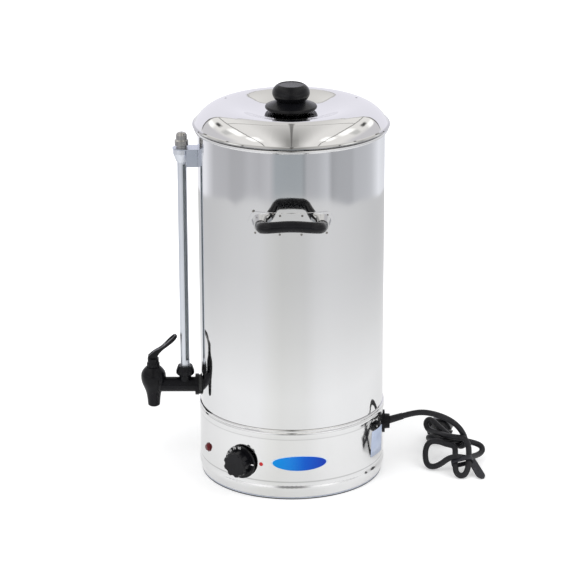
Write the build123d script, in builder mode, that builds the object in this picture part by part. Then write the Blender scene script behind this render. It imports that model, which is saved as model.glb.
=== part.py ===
from build123d import *
import os
from math import asin, atan2, cos, degrees, pi, radians, sin, sqrt, tan

# Hot water urn of about twenty litres: a stainless tank on a skirted base, with a lift-off lid,
# a self-closing tap with a level gauge standing on its shank, two carrying handles and a mains lead.
# Frame: origin on the tank's axis at the surface it stands on, +Z up, -Y the control panel,
# -X the tap, +X the mains lead. Millimetres.

# ---- clearances ----
seat_gap = 0.05          # faces of one body that seat on each other
running_gap = 0.05       # radial clearance of a shaft in its hole
body_gap = 0.3           # faces of different bodies that meet

# ---- tank ----
body_radius = 130.0      # outside of the tank wall
sheet = 1.0              # tank and lid sheet
floor_height = 103.5     # top of the tank floor
floor_corner = 6.0
skirt_lap = 11.0         # how far the wall reaches down inside the skirt
bead_radius = 3.0        # rolled rim of the tank
rim_height = 508.0       # top of the rolled rim
inner_radius = body_radius - sheet
bead_center = inner_radius + bead_radius

# ---- base skirt, plate and foot ----
seam_height = floor_height + 1.5   # top edge of the skirt
skirt_sheet = 0.9
edge_bead = 4.0          # rolled bead under the top edge
edge_bulge = 0.9
band_crest = 3.0         # then a band: its crest under the bead, its height and swell
band_height = 10.5
band_bulge = 1.0
step_low, step_high = 14.5, 27.0   # the wall swells to its foot between these heights
step_middle, step_knee = 19.8, 1.6   # where it swells most
step_bulge = 1.2
foot_radius = body_radius - 0.6    # skirt at its bottom bend
foot_height = 1.8        # rubber ring under the plate
foot_width = 7.0
plate_sheet = 1.2
plate_rim_inner = body_radius - 14.0
plate_flat_radius = body_radius - 20.0
plate_lift = 9.0         # underside of the raised middle of the plate
flange_inner = body_radius - 12.0   # inward flange of the skirt
skirt_inner = body_radius + seat_gap
skirt_outer = skirt_inner + skirt_sheet
flange_low = foot_height + plate_sheet
plate_top = plate_lift + plate_sheet

# ---- studs that hold the plate ----
stud_radius = 2.5
stud_circle = body_radius - 45.0
stud_count = 3
nut_height = 4.0
nut_across = 8.0

# ---- lid ----
lid_rim_radius = body_radius + 6.8
lid_rim_height = 3.2     # depth of the rolled edge
crest_radius = body_radius - 37.0   # the raised ring round the dished middle
crest_height = rim_height + 28.5
shoulder_radius = 46.0   # bend from the crest down to the rim
shoulder_end = body_radius + 3.4
dish_radius = 40.0       # flat middle that carries the knob
dish_height = crest_height - 9.0
lid_plug_radius = body_radius - 2.6    # ring that drops inside the tank
lid_plug_depth = 8.0
vent_radius = 1.5
vent_circle = crest_radius + 4.0
vent_angle = 20.5
lid_seat = rim_height + body_gap

# ---- lid knob ----
knob_flange_radius = 36.0
knob_foot_radius = 23.0
knob_neck_radius = 20.0
knob_head_radius = 26.0
knob_top_radius = 18.0
knob_height = 37.5
knob_screw_radius = 2.5
knob_screw_depth = 16.0

# ---- carrying handles ----
handle_plate_height = rim_height - 105.0    # middle of the stamped plate
handle_plate_length = 119.0
handle_plate_tall = 32.5
handle_plate_sheet = 1.2
handle_tip = 7.0              # pointed ends of the plate
handle_boss_spread = 41.5
handle_boss_height = handle_plate_height + 2.0
handle_boss_radius = 8.9
handle_boss_depth = 12.0
grip_radius = 7.7
grip_reach = 52.0             # grip axis from the tank wall
grip_spread = 38.6
grip_height = handle_boss_height + 9.5
grip_arch = 3.0
grip_corner = 13.0
grip_bow = 200.0

# ---- tap ----
tap_axis = -body_radius - 67.2    # x of the tap's upright axis
shank_height = floor_height + 20.5
shank_radius = 10.7
shank_bore = 4.5
thread_radius = 9.4           # part of the shank that passes the wall
thread_end = body_radius - 18.0   # how far from the tank's axis the thread ends
collar_radius = 15.3          # flange of the shank outside the wall
collar_width = 5.0
gasket_radius = 14.0
gasket_width = 2.5
shank_nut_across = 30.0
shank_nut_width = 8.0
tap_boss = 18.2               # reach of the body's side boss from its upright axis
spout_bottom = shank_height - 31.8
spout_bore = 5.2
seat_height = shank_height - 3.0   # valve seat at the head of the spout
chamber_radius = 12.0
chamber_top = shank_height + 20.0
body_top = shank_height + 27.0
bonnet_thread = 7.5
bonnet_top = body_top + 13.0
bonnet_collar = 9.2
bonnet_neck = 8.1
bonnet_step = body_top + 6.5
pocket_radius = 5.6           # spring pocket in the bonnet
pocket_top = body_top + 6.0
recess_radius = 4.6           # recess that the stem's eye rises from
recess_floor = body_top + 9.0
stub_radius = 7.4             # threaded stub of the tap body inside the shank
stub_length = 12.0

# ---- tap valve and lever ----
valve_lift = 3.0              # stem travel over the lever's full swing
lever_swing = 60.0            # degrees, outward
lever_rest = 40.0             # degrees above the horizontal at rest, leaning to the tank
lever_length = 45.0
lever_width = 19.0
lever_root_width = 10.2
lever_thickness = 4.0
lever_tip = 3.4               # top of the paddle's tip over the arm's middle line
lever_dish = 1.9              # floor of the two thumb recesses over that line
heel_rise = 4.0               # pin axis over the heel's flat
heel_flat = 5.0
hub_radius = 4.3
cheek_gap = 4.3               # between the two cheeks
pin_radius = 1.5
stem_radius = 2.0
eye_thickness = 4.0
eye_radius = 3.4
cup_radius = 6.6
cup_height = 10.0
spring_wire = 0.5
spring_radius = 4.5
spring_turns = 6
lever_slope = valve_lift / radians(lever_swing)   # rise per radian: the heel is an involute
pin_height = bonnet_top + 0.15 + heel_rise

# ---- level gauge ----
gauge_axis = -body_radius - 21.8
tee_radius = 8.6
tee_top = shank_height + 22.0
tee_bore = 3.0
glass_radius = 5.0
glass_bore = 3.5
glass_bottom = shank_height + 14.3
glass_top = rim_height - 36.0
gauge_nut_radius = 13.0
gauge_nut_low = shank_height + 15.5
gauge_nut_shoulder = shank_height + 25.0
gauge_nut_top = shank_height + 29.0
gauge_nut_top_radius = 10.4
guard_radius = 6.6
guard_sheet = 0.8
guard_slot_turn = 38.0        # slot faces this far right of -Y
guard_slot_half = 27.0
guard_slot_low, guard_slot_high = gauge_nut_top + 9.0, rim_height - 56.0
seal_height = 3.0
ferrule_low, ferrule_flare, ferrule_top = rim_height - 53.0, rim_height - 41.0, rim_height - 34.5
ferrule_radius = 12.2
bracket_sheet = 1.5
bracket_half = 13.0
bracket_low = rim_height - 58.0
bracket_reach = body_radius + 15.0
cap_neck_radius = 7.6
cap_ring_radius = 9.8
cap_ring_low, cap_ring_high = rim_height - 29.5, rim_height - 21.0
cap_dome_radius = 8.0
cap_top = rim_height - 11.0
rivet_radius = 1.6
rivet_heights = (bracket_low + 7.0, bracket_low + 18.0)

# ---- heating element ----
element_tube = 4.2
element_ring = body_radius - 50.0
element_height = floor_height + 20.5
element_bend = 12.0
element_gap_angle = 20.0      # half of the gap between the two ends
element_leg_bottom = floor_height - 19.5
bushing_radius = 8.0
bushing_thread = 6.0
washer_height = 1.5
bushing_head = 4.0
element_nut_across = 16.0
element_collar = (3.4, 3.0)    # radius and height of the insulator at each end
element_tab = (6.3, 0.8, 12.0)

# ---- control panel ----
panel_height = 51.0
knob_turn = -32.3             # azimuth from -Y towards +X
lamp_turn = -63.9
lamp_height = 50.6
control_depth = body_radius - 2.5    # front face of the thermostat from the tank's axis
control_size = 34.0
control_deep = 24.0
spindle_radius = 3.0
spindle_hole = 5.0
spindle_end = body_radius + 19.0
dial_radius = 23.9
dial_back = body_radius + 4.0
dial_front = body_radius + 6.8
grip_front = body_radius + 21.0
dial_grip_radius = 18.6
dial_flutes = 9
screw_spread = 28.0
screw_radius = 1.8
lamp_radius = 4.8
lamp_flange = 6.4
lens_front = body_radius + 5.0

# ---- safety cut-out, terminals and earth, on the base plate ----
cutout_place = (-12.0, 45.0)
cutout_size = (30.0, 24.0, 20.0)
button_radius = 3.0
button_low = 6.2
button_travel = 2.0
terminal_place = (body_radius - 46.0, -16.0)
terminal_size = (18.0, 46.0, 16.0)
terminal_count = 3
earth_place = (48.0, -64.0)
earth_radius = 2.0

# ---- mains lead ----
gland_height = 66.5
gland_flange = 16.5
gland_body = 11.0
gland_front = body_radius + 10.4
gland_thread = 9.3
gland_flange_front = body_radius + 3.2
gland_nut_across = 24.0
gland_nut_width = 5.0
boot_radius = 5.4
boot_end_radius = 4.8
boot_rise = 1.8               # the lead leaves above the middle of the gland
boot_tilt = 17.0
boot_length = 20.0
cord_radius = 4.2

# ---- the tied rest of the lead, and its plug ----
hank_middle = (body_radius + 102.0, 0.0)
hank_end = (body_radius + 119.0, -5.0)
hank_width = 34.0
hank_height = 36.0
# tip, width and height of each fan of loops
hank_lobes = [
    ((body_radius + 71.0, 39.0), 32.0, 50.0),
    ((body_radius + 76.0, -10.0), 36.0, 24.0),
    ((body_radius + 112.0, -45.0), 30.0, 20.0),
    ((body_radius + 137.0, 14.0), 24.0, 28.0),
]
tie_place = (body_radius + 110.5, -38.0)   # middle of the strap, round the front loop
tie_width = 8.0
tie_sheet = 1.5
waist_half = 13.6
waist_height = 18.0
tail_start = (body_radius + 128.4, -35.5)  # loose end of the strap, flat on the surface
tail_end = (body_radius + 142.0, -56.0)
tail_width = 9.0
plug_place = (body_radius + 90.5, 93.0)    # middle of the plug's face
plug_turn = 75.0              # way that the pins point, from +X towards +Y
plug_radius = 18.5
plug_disc = 14.0
plug_taper = 18.0
plug_neck = 8.0
plug_boot = 5.2
plug_boot_length = 14.0
plug_pin_pitch = 19.0
plug_pin_radius = 2.4
plug_pin_length = 19.0

output = "parts"
os.makedirs(output, exist_ok=True)


def save(builder, name):
    builder.part.label = name
    export_step(builder.part, f"{output}/{name}.step")


def wall_plane(azimuth, height, distance):
    """Plane square to the radius at an azimuth from -Y towards +X, its normal outward and its y up."""
    a = radians(azimuth)
    outward = (sin(a), -cos(a), 0)
    origin = (distance * outward[0], distance * outward[1], height)
    return Plane(origin=origin, x_dir=(cos(a), sin(a), 0), z_dir=outward)


def hexagon(across):
    return RegularPolygon(across / 2, 6, major_radius=False)


# ---------------- tank ----------------
# The wall, its rolled rim and the pressed floor are one welded sheet part.
bead_height = rim_height - bead_radius
bead_meet = sqrt(bead_radius**2 - (bead_center - body_radius) ** 2)
bead_start = -180 + degrees(asin(bead_meet / bead_radius))

with BuildPart() as tank:
    with BuildSketch(Plane.XZ):
        with BuildLine():
            Polyline(
                (0, floor_height), (0, floor_height - sheet),
                (inner_radius, floor_height - sheet),
                (inner_radius, seam_height - skirt_lap),
                (body_radius, seam_height - skirt_lap),
                (body_radius, bead_height - bead_meet),
            )
            CenterArc((bead_center, bead_height), bead_radius, bead_start, 180 - bead_start)
            Line((inner_radius, bead_height), (inner_radius, floor_height + floor_corner))
            CenterArc((inner_radius - floor_corner, floor_height + floor_corner), floor_corner, 0, -90)
            Line((inner_radius - floor_corner, floor_height), (0, floor_height))
        make_face()
    revolve(axis=Axis.Z)
    # hole for the tap's shank, then rivet holes for the gauge bracket
    with BuildSketch(Plane.YZ.offset(-body_radius - 2)):
        with Locations((0, shank_height)):
            Circle(thread_radius + seat_gap)
        with Locations(*[(0, h) for h in rivet_heights]):
            Circle(rivet_radius + seat_gap)
    extrude(amount=6, mode=Mode.SUBTRACT)
    # two holes in the floor for the heating element
    element_turn = radians(90 - element_gap_angle)
    element_end = (
        element_ring * cos(element_turn) - element_bend * sin(element_turn),
        element_ring * sin(element_turn) + element_bend * cos(element_turn),
    )
    element_legs = [element_end, (-element_end[0], element_end[1])]
    with BuildSketch(Plane.XY.offset(floor_height - sheet - 1)):
        with Locations(*element_legs):
            Circle(bushing_thread + seat_gap)
    extrude(amount=sheet + 2, mode=Mode.SUBTRACT)
save(tank, "tank")

# ---------------- base skirt ----------------
bead_low = seam_height - edge_bead
band_low = bead_low - band_height
with BuildPart() as base_skirt:
    with BuildSketch(Plane.XZ):
        with BuildLine():
            Line((skirt_inner, seam_height), (skirt_outer, seam_height))
            ThreePointArc(
                (skirt_outer, seam_height), (skirt_outer + edge_bulge, seam_height - edge_bead / 2),
                (skirt_outer, bead_low),
            )
            Spline(
                (skirt_outer, bead_low), (skirt_outer + band_bulge, bead_low - band_crest),
                (skirt_outer, band_low), tangents=((0.6, -1), (-0.2, -1)),
            )
            Line((skirt_outer, band_low), (skirt_outer, step_high))
            Spline(
                (skirt_outer, step_high), (skirt_outer + 0.12 * step_bulge, step_middle + step_knee),
                (skirt_outer + 0.88 * step_bulge, step_middle - step_knee),
                (skirt_outer + step_bulge, step_low), tangents=((0, -1), (0, -1)),
            )
            Polyline(
                (skirt_outer + step_bulge, step_low), (foot_radius, flange_low + 1.0), (foot_radius - 1.0, flange_low),
                (flange_inner, flange_low), (flange_inner, flange_low + skirt_sheet),
                (foot_radius - 1.4, flange_low + skirt_sheet),
                (foot_radius - skirt_sheet, flange_low + 1.6), (skirt_inner, step_low),
                (skirt_inner, seam_height),
            )
        make_face()
    revolve(axis=Axis.Z)
    with BuildSketch(wall_plane(lamp_turn, lamp_height, body_radius - 5)):
        Circle(lamp_radius + 0.2)
    extrude(amount=12, mode=Mode.SUBTRACT)
    with BuildSketch(wall_plane(knob_turn, panel_height, body_radius - 5)):
        Circle(spindle_hole)
        with Locations((0, screw_spread / 2), (0, -screw_spread / 2)):
            Circle(screw_radius + 0.2)
    extrude(amount=12, mode=Mode.SUBTRACT)
    with BuildSketch(wall_plane(90, gland_height, body_radius - 5)):
        Circle(gland_thread + 0.2)
    extrude(amount=12, mode=Mode.SUBTRACT)
save(base_skirt, "base_skirt")

# ---------------- base plate, foot ring, studs ----------------
plate_rim_outer = foot_radius - 0.8
with BuildPart() as base_plate:
    with BuildSketch(Plane.XZ):
        with BuildLine():
            Polyline(
                (0, plate_lift), (plate_flat_radius, plate_lift), (plate_rim_inner, foot_height),
                (plate_rim_outer, foot_height), (plate_rim_outer, foot_height + plate_sheet),
                (plate_rim_inner + 1.0, foot_height + plate_sheet),
                (plate_flat_radius + 1.0, plate_top), (0, plate_top), close=True,
            )
        make_face()
    revolve(axis=Axis.Z)
    with BuildSketch(Plane.XY.offset(plate_lift - 1)):
        with PolarLocations(stud_circle, stud_count, start_angle=30):
            Circle(stud_radius + 0.2)
        with Locations(cutout_place):
            Circle(button_radius + 0.6)
        with Locations(earth_place):
            Circle(earth_radius + seat_gap)
        with PolarLocations(68, 9, start_angle=10):
            SlotOverall(22, 3.2)
    extrude(amount=plate_sheet + 2, mode=Mode.SUBTRACT)
save(base_plate, "base_plate")

with BuildPart() as foot_ring:
    with BuildSketch(Plane.XZ):
        with Locations((plate_rim_outer - foot_width / 2, foot_height / 2)):
            Rectangle(foot_width, foot_height)
    revolve(axis=Axis.Z)
    outer_edges = foot_ring.edges().filter_by(GeomType.CIRCLE).group_by(SortBy.RADIUS)[-1]
    chamfer(outer_edges.sort_by(Axis.Z)[0], length=0.5)
save(foot_ring, "foot_ring")

stud_length = floor_height - sheet - seat_gap - (plate_lift - nut_height - 0.5)
with BuildPart() as floor_studs:
    with PolarLocations(stud_circle, stud_count, start_angle=30):
        with Locations((0, 0, floor_height - sheet - seat_gap)):
            Cylinder(stud_radius, stud_length, align=(Align.CENTER, Align.CENTER, Align.MAX))
            Cylinder(stud_radius + 2, 1.2, align=(Align.CENTER, Align.CENTER, Align.MAX))
save(floor_studs, "floor_studs")

with BuildPart() as stud_nuts:
    with BuildSketch(Plane.XY.offset(plate_lift - nut_height - seat_gap)):
        with PolarLocations(stud_circle, stud_count, start_angle=30):
            hexagon(nut_across)
            Circle(stud_radius + running_gap, mode=Mode.SUBTRACT)
    extrude(amount=nut_height)
save(stud_nuts, "stud_nuts")

# ---------------- heating element ----------------
leg_top = element_height - element_bend
arc_end = (element_ring * cos(element_turn), element_ring * sin(element_turn), element_height)
bend_share = 1 - cos(radians(45))
bend_mid = (
    arc_end[0] - element_bend * sin(radians(45)) * sin(element_turn),
    arc_end[1] + element_bend * sin(radians(45)) * cos(element_turn),
    element_height - element_bend * bend_share,
)


def mirrored(point):
    return (-point[0], point[1], point[2])


leg_head = (element_end[0], element_end[1], leg_top)
leg_foot = (element_end[0], element_end[1], element_leg_bottom)
with BuildPart() as heating_element:
    with BuildLine() as element_path:
        Line(leg_foot, leg_head)
        ThreePointArc(leg_head, bend_mid, arc_end)
        ThreePointArc(arc_end, (0, -element_ring, element_height), mirrored(arc_end))
        ThreePointArc(mirrored(arc_end), mirrored(bend_mid), mirrored(leg_head))
        Line(mirrored(leg_head), mirrored(leg_foot))
    with BuildSketch(Plane(origin=leg_foot, z_dir=(0, 0, 1))):
        Circle(element_tube)
    sweep(path=element_path.line)
save(heating_element, "heating_element")

with BuildPart() as element_terminals:
    with Locations(*[(x, y, element_leg_bottom - seat_gap) for x, y in element_legs]):
        Cylinder(*element_collar, align=(Align.CENTER, Align.CENTER, Align.MAX))
        Box(*element_tab, align=(Align.CENTER, Align.CENTER, Align.MAX))
save(element_terminals, "element_terminals")

head_low = floor_height + washer_height + 2 * seat_gap
with BuildPart() as element_bushings:
    with BuildSketch(Plane.XY.offset(head_low)):
        with Locations(*element_legs):
            Circle(bushing_radius)
    extrude(amount=bushing_head)
    with BuildSketch(Plane.XY.offset(floor_height - 9)):
        with Locations(*element_legs):
            Circle(bushing_thread)
    extrude(until=Until.NEXT)
    with BuildSketch(Plane.XY.offset(floor_height - 10)):
        with Locations(*element_legs):
            Circle(element_tube + seat_gap)
    extrude(amount=20, mode=Mode.SUBTRACT)
save(element_bushings, "element_bushings")

with BuildPart() as element_gaskets:
    with BuildSketch(Plane.XY.offset(floor_height + seat_gap)):
        with Locations(*element_legs):
            Circle(bushing_radius)
            Circle(bushing_thread + seat_gap, mode=Mode.SUBTRACT)
    extrude(amount=washer_height)
save(element_gaskets, "element_gaskets")

with BuildPart() as element_nuts:
    with BuildSketch(Plane.XY.offset(floor_height - sheet - seat_gap)):
        with Locations(*element_legs):
            hexagon(element_nut_across)
            Circle(bushing_thread + running_gap, mode=Mode.SUBTRACT)
    extrude(amount=-nut_height)
save(element_nuts, "element_nuts")

# ---------------- lid ----------------
shoulder_center = crest_height - shoulder_radius
shoulder_turn = degrees(asin((shoulder_end - crest_radius) / shoulder_radius))
shoulder_low = shoulder_center + shoulder_radius * cos(radians(shoulder_turn))
inner_bend = shoulder_radius - sheet
edge_top = lid_seat + lid_rim_height
with BuildPart() as lid:
    with BuildSketch(Plane.XZ):
        with BuildLine():
            # outer face: dish, crest, shoulder, rolled edge
            Line((0, dish_height), (dish_radius, dish_height))
            Spline(
                (dish_radius, dish_height), (crest_radius, crest_height),
                tangents=((1, 0), (1, 0)), tangent_scalars=(1.2, 1.2),
            )
            CenterArc((crest_radius, shoulder_center), shoulder_radius, 90, -shoulder_turn)
            Polyline(
                (shoulder_end, shoulder_low), (lid_rim_radius - 1.2, edge_top),
                (lid_rim_radius, edge_top - 1.2), (lid_rim_radius, lid_seat + 0.8),
                (lid_rim_radius - 0.8, lid_seat), (bead_center - 1.5, lid_seat),
                (crest_radius + inner_bend * sin(radians(shoulder_turn)),
                 shoulder_center + inner_bend * cos(radians(shoulder_turn))),
            )
            CenterArc((crest_radius, shoulder_center), inner_bend, 90, -shoulder_turn)
            Spline(
                (dish_radius, dish_height - sheet), (crest_radius, crest_height - sheet),
                tangents=((1, 0), (1, 0)), tangent_scalars=(1.2, 1.2),
            )
            Polyline((dish_radius, dish_height - sheet), (0, dish_height - sheet), (0, dish_height))
        make_face()
    revolve(axis=Axis.Z)
    # plug ring that drops inside the tank
    plug_top = shoulder_center + sqrt(inner_bend**2 - (lid_plug_radius - crest_radius) ** 2) + 0.3
    with BuildSketch(Plane.XY.offset(rim_height - lid_plug_depth)):
        Circle(lid_plug_radius)
        Circle(lid_plug_radius - sheet, mode=Mode.SUBTRACT)
    extrude(amount=plug_top - rim_height + lid_plug_depth)
    with BuildSketch(Plane.XY.offset(crest_height - 6)):
        with Locations(*[
            (vent_circle * cos(radians(a)), vent_circle * sin(radians(a)))
            for a in (vent_angle, 180 - vent_angle)
        ]):
            Circle(vent_radius)
    extrude(amount=10, mode=Mode.SUBTRACT)
    with Locations((0, 0, dish_height)):
        Hole(knob_screw_radius + 0.2, depth=4)
save(lid, "lid")

# ---------------- lid knob ----------------
knob_base = dish_height + seat_gap
with BuildPart() as lid_knob:
    with BuildSketch(Plane.XZ):
        with BuildLine():
            Polyline(
                (0, knob_base), (knob_foot_radius, knob_base), (knob_foot_radius, knob_base + 1.6),
                (knob_flange_radius - 3, knob_base + 3.0),
            )
            ThreePointArc(
                (knob_flange_radius - 3, knob_base + 3.0), (knob_flange_radius, knob_base + 5.4),
                (knob_flange_radius - 2, knob_base + 8.0),
            )
            Spline(
                (knob_flange_radius - 2, knob_base + 8.0), (knob_flange_radius - 9, knob_base + 11.0),
                (knob_neck_radius, knob_base + 14.6),
            )
            Spline(
                (knob_neck_radius, knob_base + 14.6), (knob_head_radius - 2.6, knob_base + 18.0),
                (knob_head_radius, knob_base + 24.5), (knob_head_radius - 1.8, knob_base + 31.5),
                (knob_top_radius, knob_base + knob_height - 0.4),
            )
            Polyline(
                (knob_top_radius, knob_base + knob_height - 0.4),
                (knob_top_radius - 1.4, knob_base + knob_height - 0.4),
                (knob_top_radius - 2.2, knob_base + knob_height - 1.0),
                (0, knob_base + knob_height - 1.0), (0, knob_base),
            )
        make_face()
    revolve(axis=Axis.Z)
    with BuildSketch(Plane.XY.offset(knob_base - 1)):
        Circle(knob_screw_radius + seat_gap)
    extrude(amount=knob_screw_depth + 2, mode=Mode.SUBTRACT)
save(lid_knob, "lid_knob")

washer_top = dish_height - sheet - seat_gap
with BuildPart() as knob_washer:
    with BuildSketch(Plane.XY.offset(washer_top)):
        Circle(9)
        Circle(knob_screw_radius + 0.2, mode=Mode.SUBTRACT)
    extrude(amount=-washer_height)
save(knob_washer, "knob_washer")

screw_head_top = washer_top - washer_height - seat_gap
with BuildPart() as knob_screw:
    with Locations((0, 0, screw_head_top)):
        Cylinder(4.6, 2.8, align=(Align.CENTER, Align.CENTER, Align.MAX))
        Cylinder(
            knob_screw_radius, knob_base + knob_screw_depth - screw_head_top,
            align=(Align.CENTER, Align.CENTER, Align.MIN),
        )
save(knob_screw, "knob_screw")


# ---------------- carrying handles ----------------
def handle_plate(side, name):
    """Stamped plate that follows the wall, with two raised sockets; side 0 is -Y, 180 is +Y."""
    inner = body_radius + seat_gap
    outer = inner + handle_plate_sheet
    front = wall_plane(side, handle_plate_height, inner - 24)
    boss = wall_plane(side, handle_boss_height, outer + handle_boss_depth)
    half_long, half_tall = handle_plate_length / 2, handle_plate_tall / 2
    with BuildPart() as plate:
        with BuildSketch(front):
            with BuildLine():
                Polyline(
                    (-half_long, 0), (-half_long + handle_tip, half_tall),
                    (half_long - handle_tip, half_tall), (half_long, 0),
                    (half_long - handle_tip, -half_tall), (-half_long + handle_tip, -half_tall),
                    close=True,
                )
            face = make_face()
            fillet(face.vertices(), radius=5)
        extrude(amount=30)
        with BuildSketch(Plane.XY.offset(handle_plate_height - half_tall - 5)):
            Circle(outer)
            Circle(inner, mode=Mode.SUBTRACT)
        extrude(amount=handle_plate_tall + 10, mode=Mode.INTERSECT)
        with BuildSketch(boss):
            with Locations((-handle_boss_spread, 0), (handle_boss_spread, 0)):
                Circle(handle_boss_radius)
        extrude(amount=-handle_boss_depth - 12, taper=-8)
        with BuildSketch(Plane.XY.offset(handle_plate_height - half_tall - 5)):
            Circle(inner)
        extrude(amount=handle_plate_tall + 10, mode=Mode.SUBTRACT)
    save(plate, name)


def handle_grip(side, name):
    """Moulded grip bent back at both ends into the sockets of its plate."""
    root = body_radius + seat_gap + handle_plate_sheet + handle_boss_depth + seat_gap
    reach = body_radius + grip_reach
    turn = 1 if side == 0 else -1
    route = [
        (-handle_boss_spread, root, handle_boss_height), (-grip_spread, reach, grip_height),
        (0, reach + 0.5, grip_height + grip_arch),
        (grip_spread, reach, grip_height), (handle_boss_spread, root, handle_boss_height),
    ]
    points = [(turn * x, -turn * y, z) for x, y, z in route]
    with BuildPart() as grip:
        with BuildLine() as axis_line:
            FilletPolyline(*points, radius=[grip_corner, grip_bow, grip_corner])
        with BuildSketch(Plane(origin=points[0], z_dir=axis_line.line % 0)):
            Circle(grip_radius)
        sweep(path=axis_line.line)
        # the ends are cut square to the wall, where they meet the sockets
        split(bisect_by=Plane(origin=points[0], z_dir=(0, -turn, 0)), keep=Keep.TOP)
    save(grip, name)


for side, prefix in ((0, "front"), (180, "rear")):
    handle_plate(side, f"{prefix}_handle_plate")
    handle_grip(side, f"{prefix}_handle_grip")

# ---------------- tap body ----------------
tap_plane = Plane(origin=(tap_axis, 0, 0), x_dir=(1, 0, 0), z_dir=(0, -1, 0))
shank_start = tap_axis + tap_boss      # the shank's outer end meets the body here
shank_plane = Plane(origin=(shank_start, 0, shank_height), x_dir=(0, 1, 0), z_dir=(1, 0, 0))
tap_upright = Axis((tap_axis, 0, 0), (0, 0, 1))
with BuildPart() as tap_body:
    with BuildSketch(tap_plane):
        with BuildLine():
            Polyline((0, spout_bottom), (7.2, spout_bottom), (8.6, spout_bottom + 1.6))
            Spline(
                (8.6, spout_bottom + 1.6), (9.5, body_top - 47), (11.3, body_top - 37.5),
                (14.7, body_top - 28.5), (17.1, body_top - 21.5), (17.8, body_top - 15),
                (17.0, body_top - 9), (13.8, body_top - 3.6), (10.4, body_top),
            )
            Polyline((10.4, body_top), (0, body_top), (0, spout_bottom))
        make_face()
    revolve(axis=tap_upright)
    with BuildSketch(shank_plane):
        Circle(shank_radius)
    extrude(amount=-10)
    with BuildSketch(shank_plane):
        Circle(stub_radius)
    extrude(amount=stub_length)
    # chamber over the valve seat, spout and bonnet bore
    with BuildSketch(tap_plane):
        with BuildLine():
            Polyline(
                (0, spout_bottom - 1), (spout_bore + 1.0, spout_bottom - 1),
                (spout_bore, spout_bottom + 2), (spout_bore, seat_height),
                (8.2, seat_height), (chamber_radius, seat_height + 9), (chamber_radius, chamber_top - 2),
                (bonnet_thread, chamber_top), (bonnet_thread, body_top + 1), (0, body_top + 1),
                close=True,
            )
        make_face()
    revolve(axis=tap_upright, mode=Mode.SUBTRACT)
    with BuildSketch(shank_plane.offset(stub_length + 1)):
        Circle(shank_bore)
    extrude(amount=shank_start + stub_length + 1 - tap_axis - 9, dir=(-1, 0, 0), mode=Mode.SUBTRACT)
save(tap_body, "tap_body")

with BuildPart() as tap_bonnet:
    with BuildSketch(tap_plane):
        with BuildLine():
            Polyline(
                (pocket_radius, chamber_top + 1), (bonnet_thread - running_gap, chamber_top + 1),
                (bonnet_thread - running_gap, body_top + seat_gap), (bonnet_collar, body_top + seat_gap),
                (bonnet_collar, bonnet_step - 0.8), (bonnet_collar - 0.8, bonnet_step),
                (bonnet_neck, bonnet_step), (bonnet_neck, bonnet_top),
                (recess_radius, bonnet_top), (recess_radius, recess_floor),
                (stem_radius + running_gap, recess_floor), (stem_radius + running_gap, pocket_top),
                (pocket_radius, pocket_top), close=True,
            )
        make_face()
    revolve(axis=tap_upright)
    # finger flutes round the collar
    with BuildSketch(Plane.XY.offset(body_top)):
        with Locations((tap_axis, 0)):
            with PolarLocations(bonnet_collar + 0.9, 12):
                Circle(1.5)
    extrude(amount=bonnet_step - body_top + 1, mode=Mode.SUBTRACT)
save(tap_bonnet, "tap_bonnet")

# ---------------- valve ----------------
cup_bottom = seat_height + 0.2
stem_foot = cup_bottom + 3.0
collar_height = cup_bottom + cup_height
with BuildPart() as valve_cup:
    with BuildSketch(tap_plane):
        with BuildLine():
            Polyline(
                (0, cup_bottom), (cup_radius - 0.8, cup_bottom), (cup_radius, cup_bottom + 0.8),
                (cup_radius + 1.2, collar_height), (cup_radius - 0.6, collar_height),
                (cup_radius - 0.6, stem_foot + 3), (stem_radius, stem_foot + 3),
                (stem_radius, stem_foot + 2),
                (3.6, stem_foot + 2), (3.6, stem_foot), (0, stem_foot), close=True,
            )
        make_face()
    revolve(axis=tap_upright)
save(valve_cup, "valve_cup")

spring_low = stem_foot + 5.0
eye_low = recess_floor + 0.6
with BuildPart() as valve_stem:
    with BuildSketch(tap_plane):
        with BuildLine():
            Polyline(
                (0, stem_foot), (3.6, stem_foot), (3.6, stem_foot + 2), (stem_radius, stem_foot + 2),
                (stem_radius, spring_low - 1.5), (spring_radius + 0.8, spring_low - 1.5),
                (spring_radius + 0.8, spring_low), (stem_radius, spring_low),
                (stem_radius, pin_height - 2), (0, pin_height - 2), close=True,
            )
        make_face()
    revolve(axis=tap_upright)
    # flat eye that the lever's pin passes through
    with BuildSketch(tap_plane):
        with Locations((0, pin_height)):
            Circle(eye_radius)
        with Locations((0, (pin_height + eye_low) / 2)):
            Rectangle(2 * eye_radius, pin_height - eye_low)
        with Locations((0, pin_height)):
            Circle(pin_radius + running_gap, mode=Mode.SUBTRACT)
    extrude(amount=eye_thickness / 2, both=True)
    with BuildSketch(tap_plane):
        with Locations((0, pin_height)):
            Circle(pin_radius + running_gap)
    extrude(amount=eye_thickness, both=True, mode=Mode.SUBTRACT)
save(valve_stem, "valve_stem")

spring_height = pocket_top - spring_low - 2 * spring_wire - 2 * seat_gap
spring_base = Plane(origin=(tap_axis, 0, spring_low + spring_wire + seat_gap))
with BuildPart() as tap_spring:
    with BuildLine():
        coil = Helix(spring_height / spring_turns, spring_height, spring_radius)
    with BuildSketch(Plane(origin=coil @ 0, z_dir=coil % 0)):
        RegularPolygon(spring_wire, 6)
    sweep(path=coil, is_frenet=True)
tap_spring.part.position = spring_base.origin
save(tap_spring, "tap_spring")

# ---------------- lever ----------------
# The heel under the pin is an involute, so the stem rises evenly with the lever's swing.
heel_steps = 8


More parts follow.
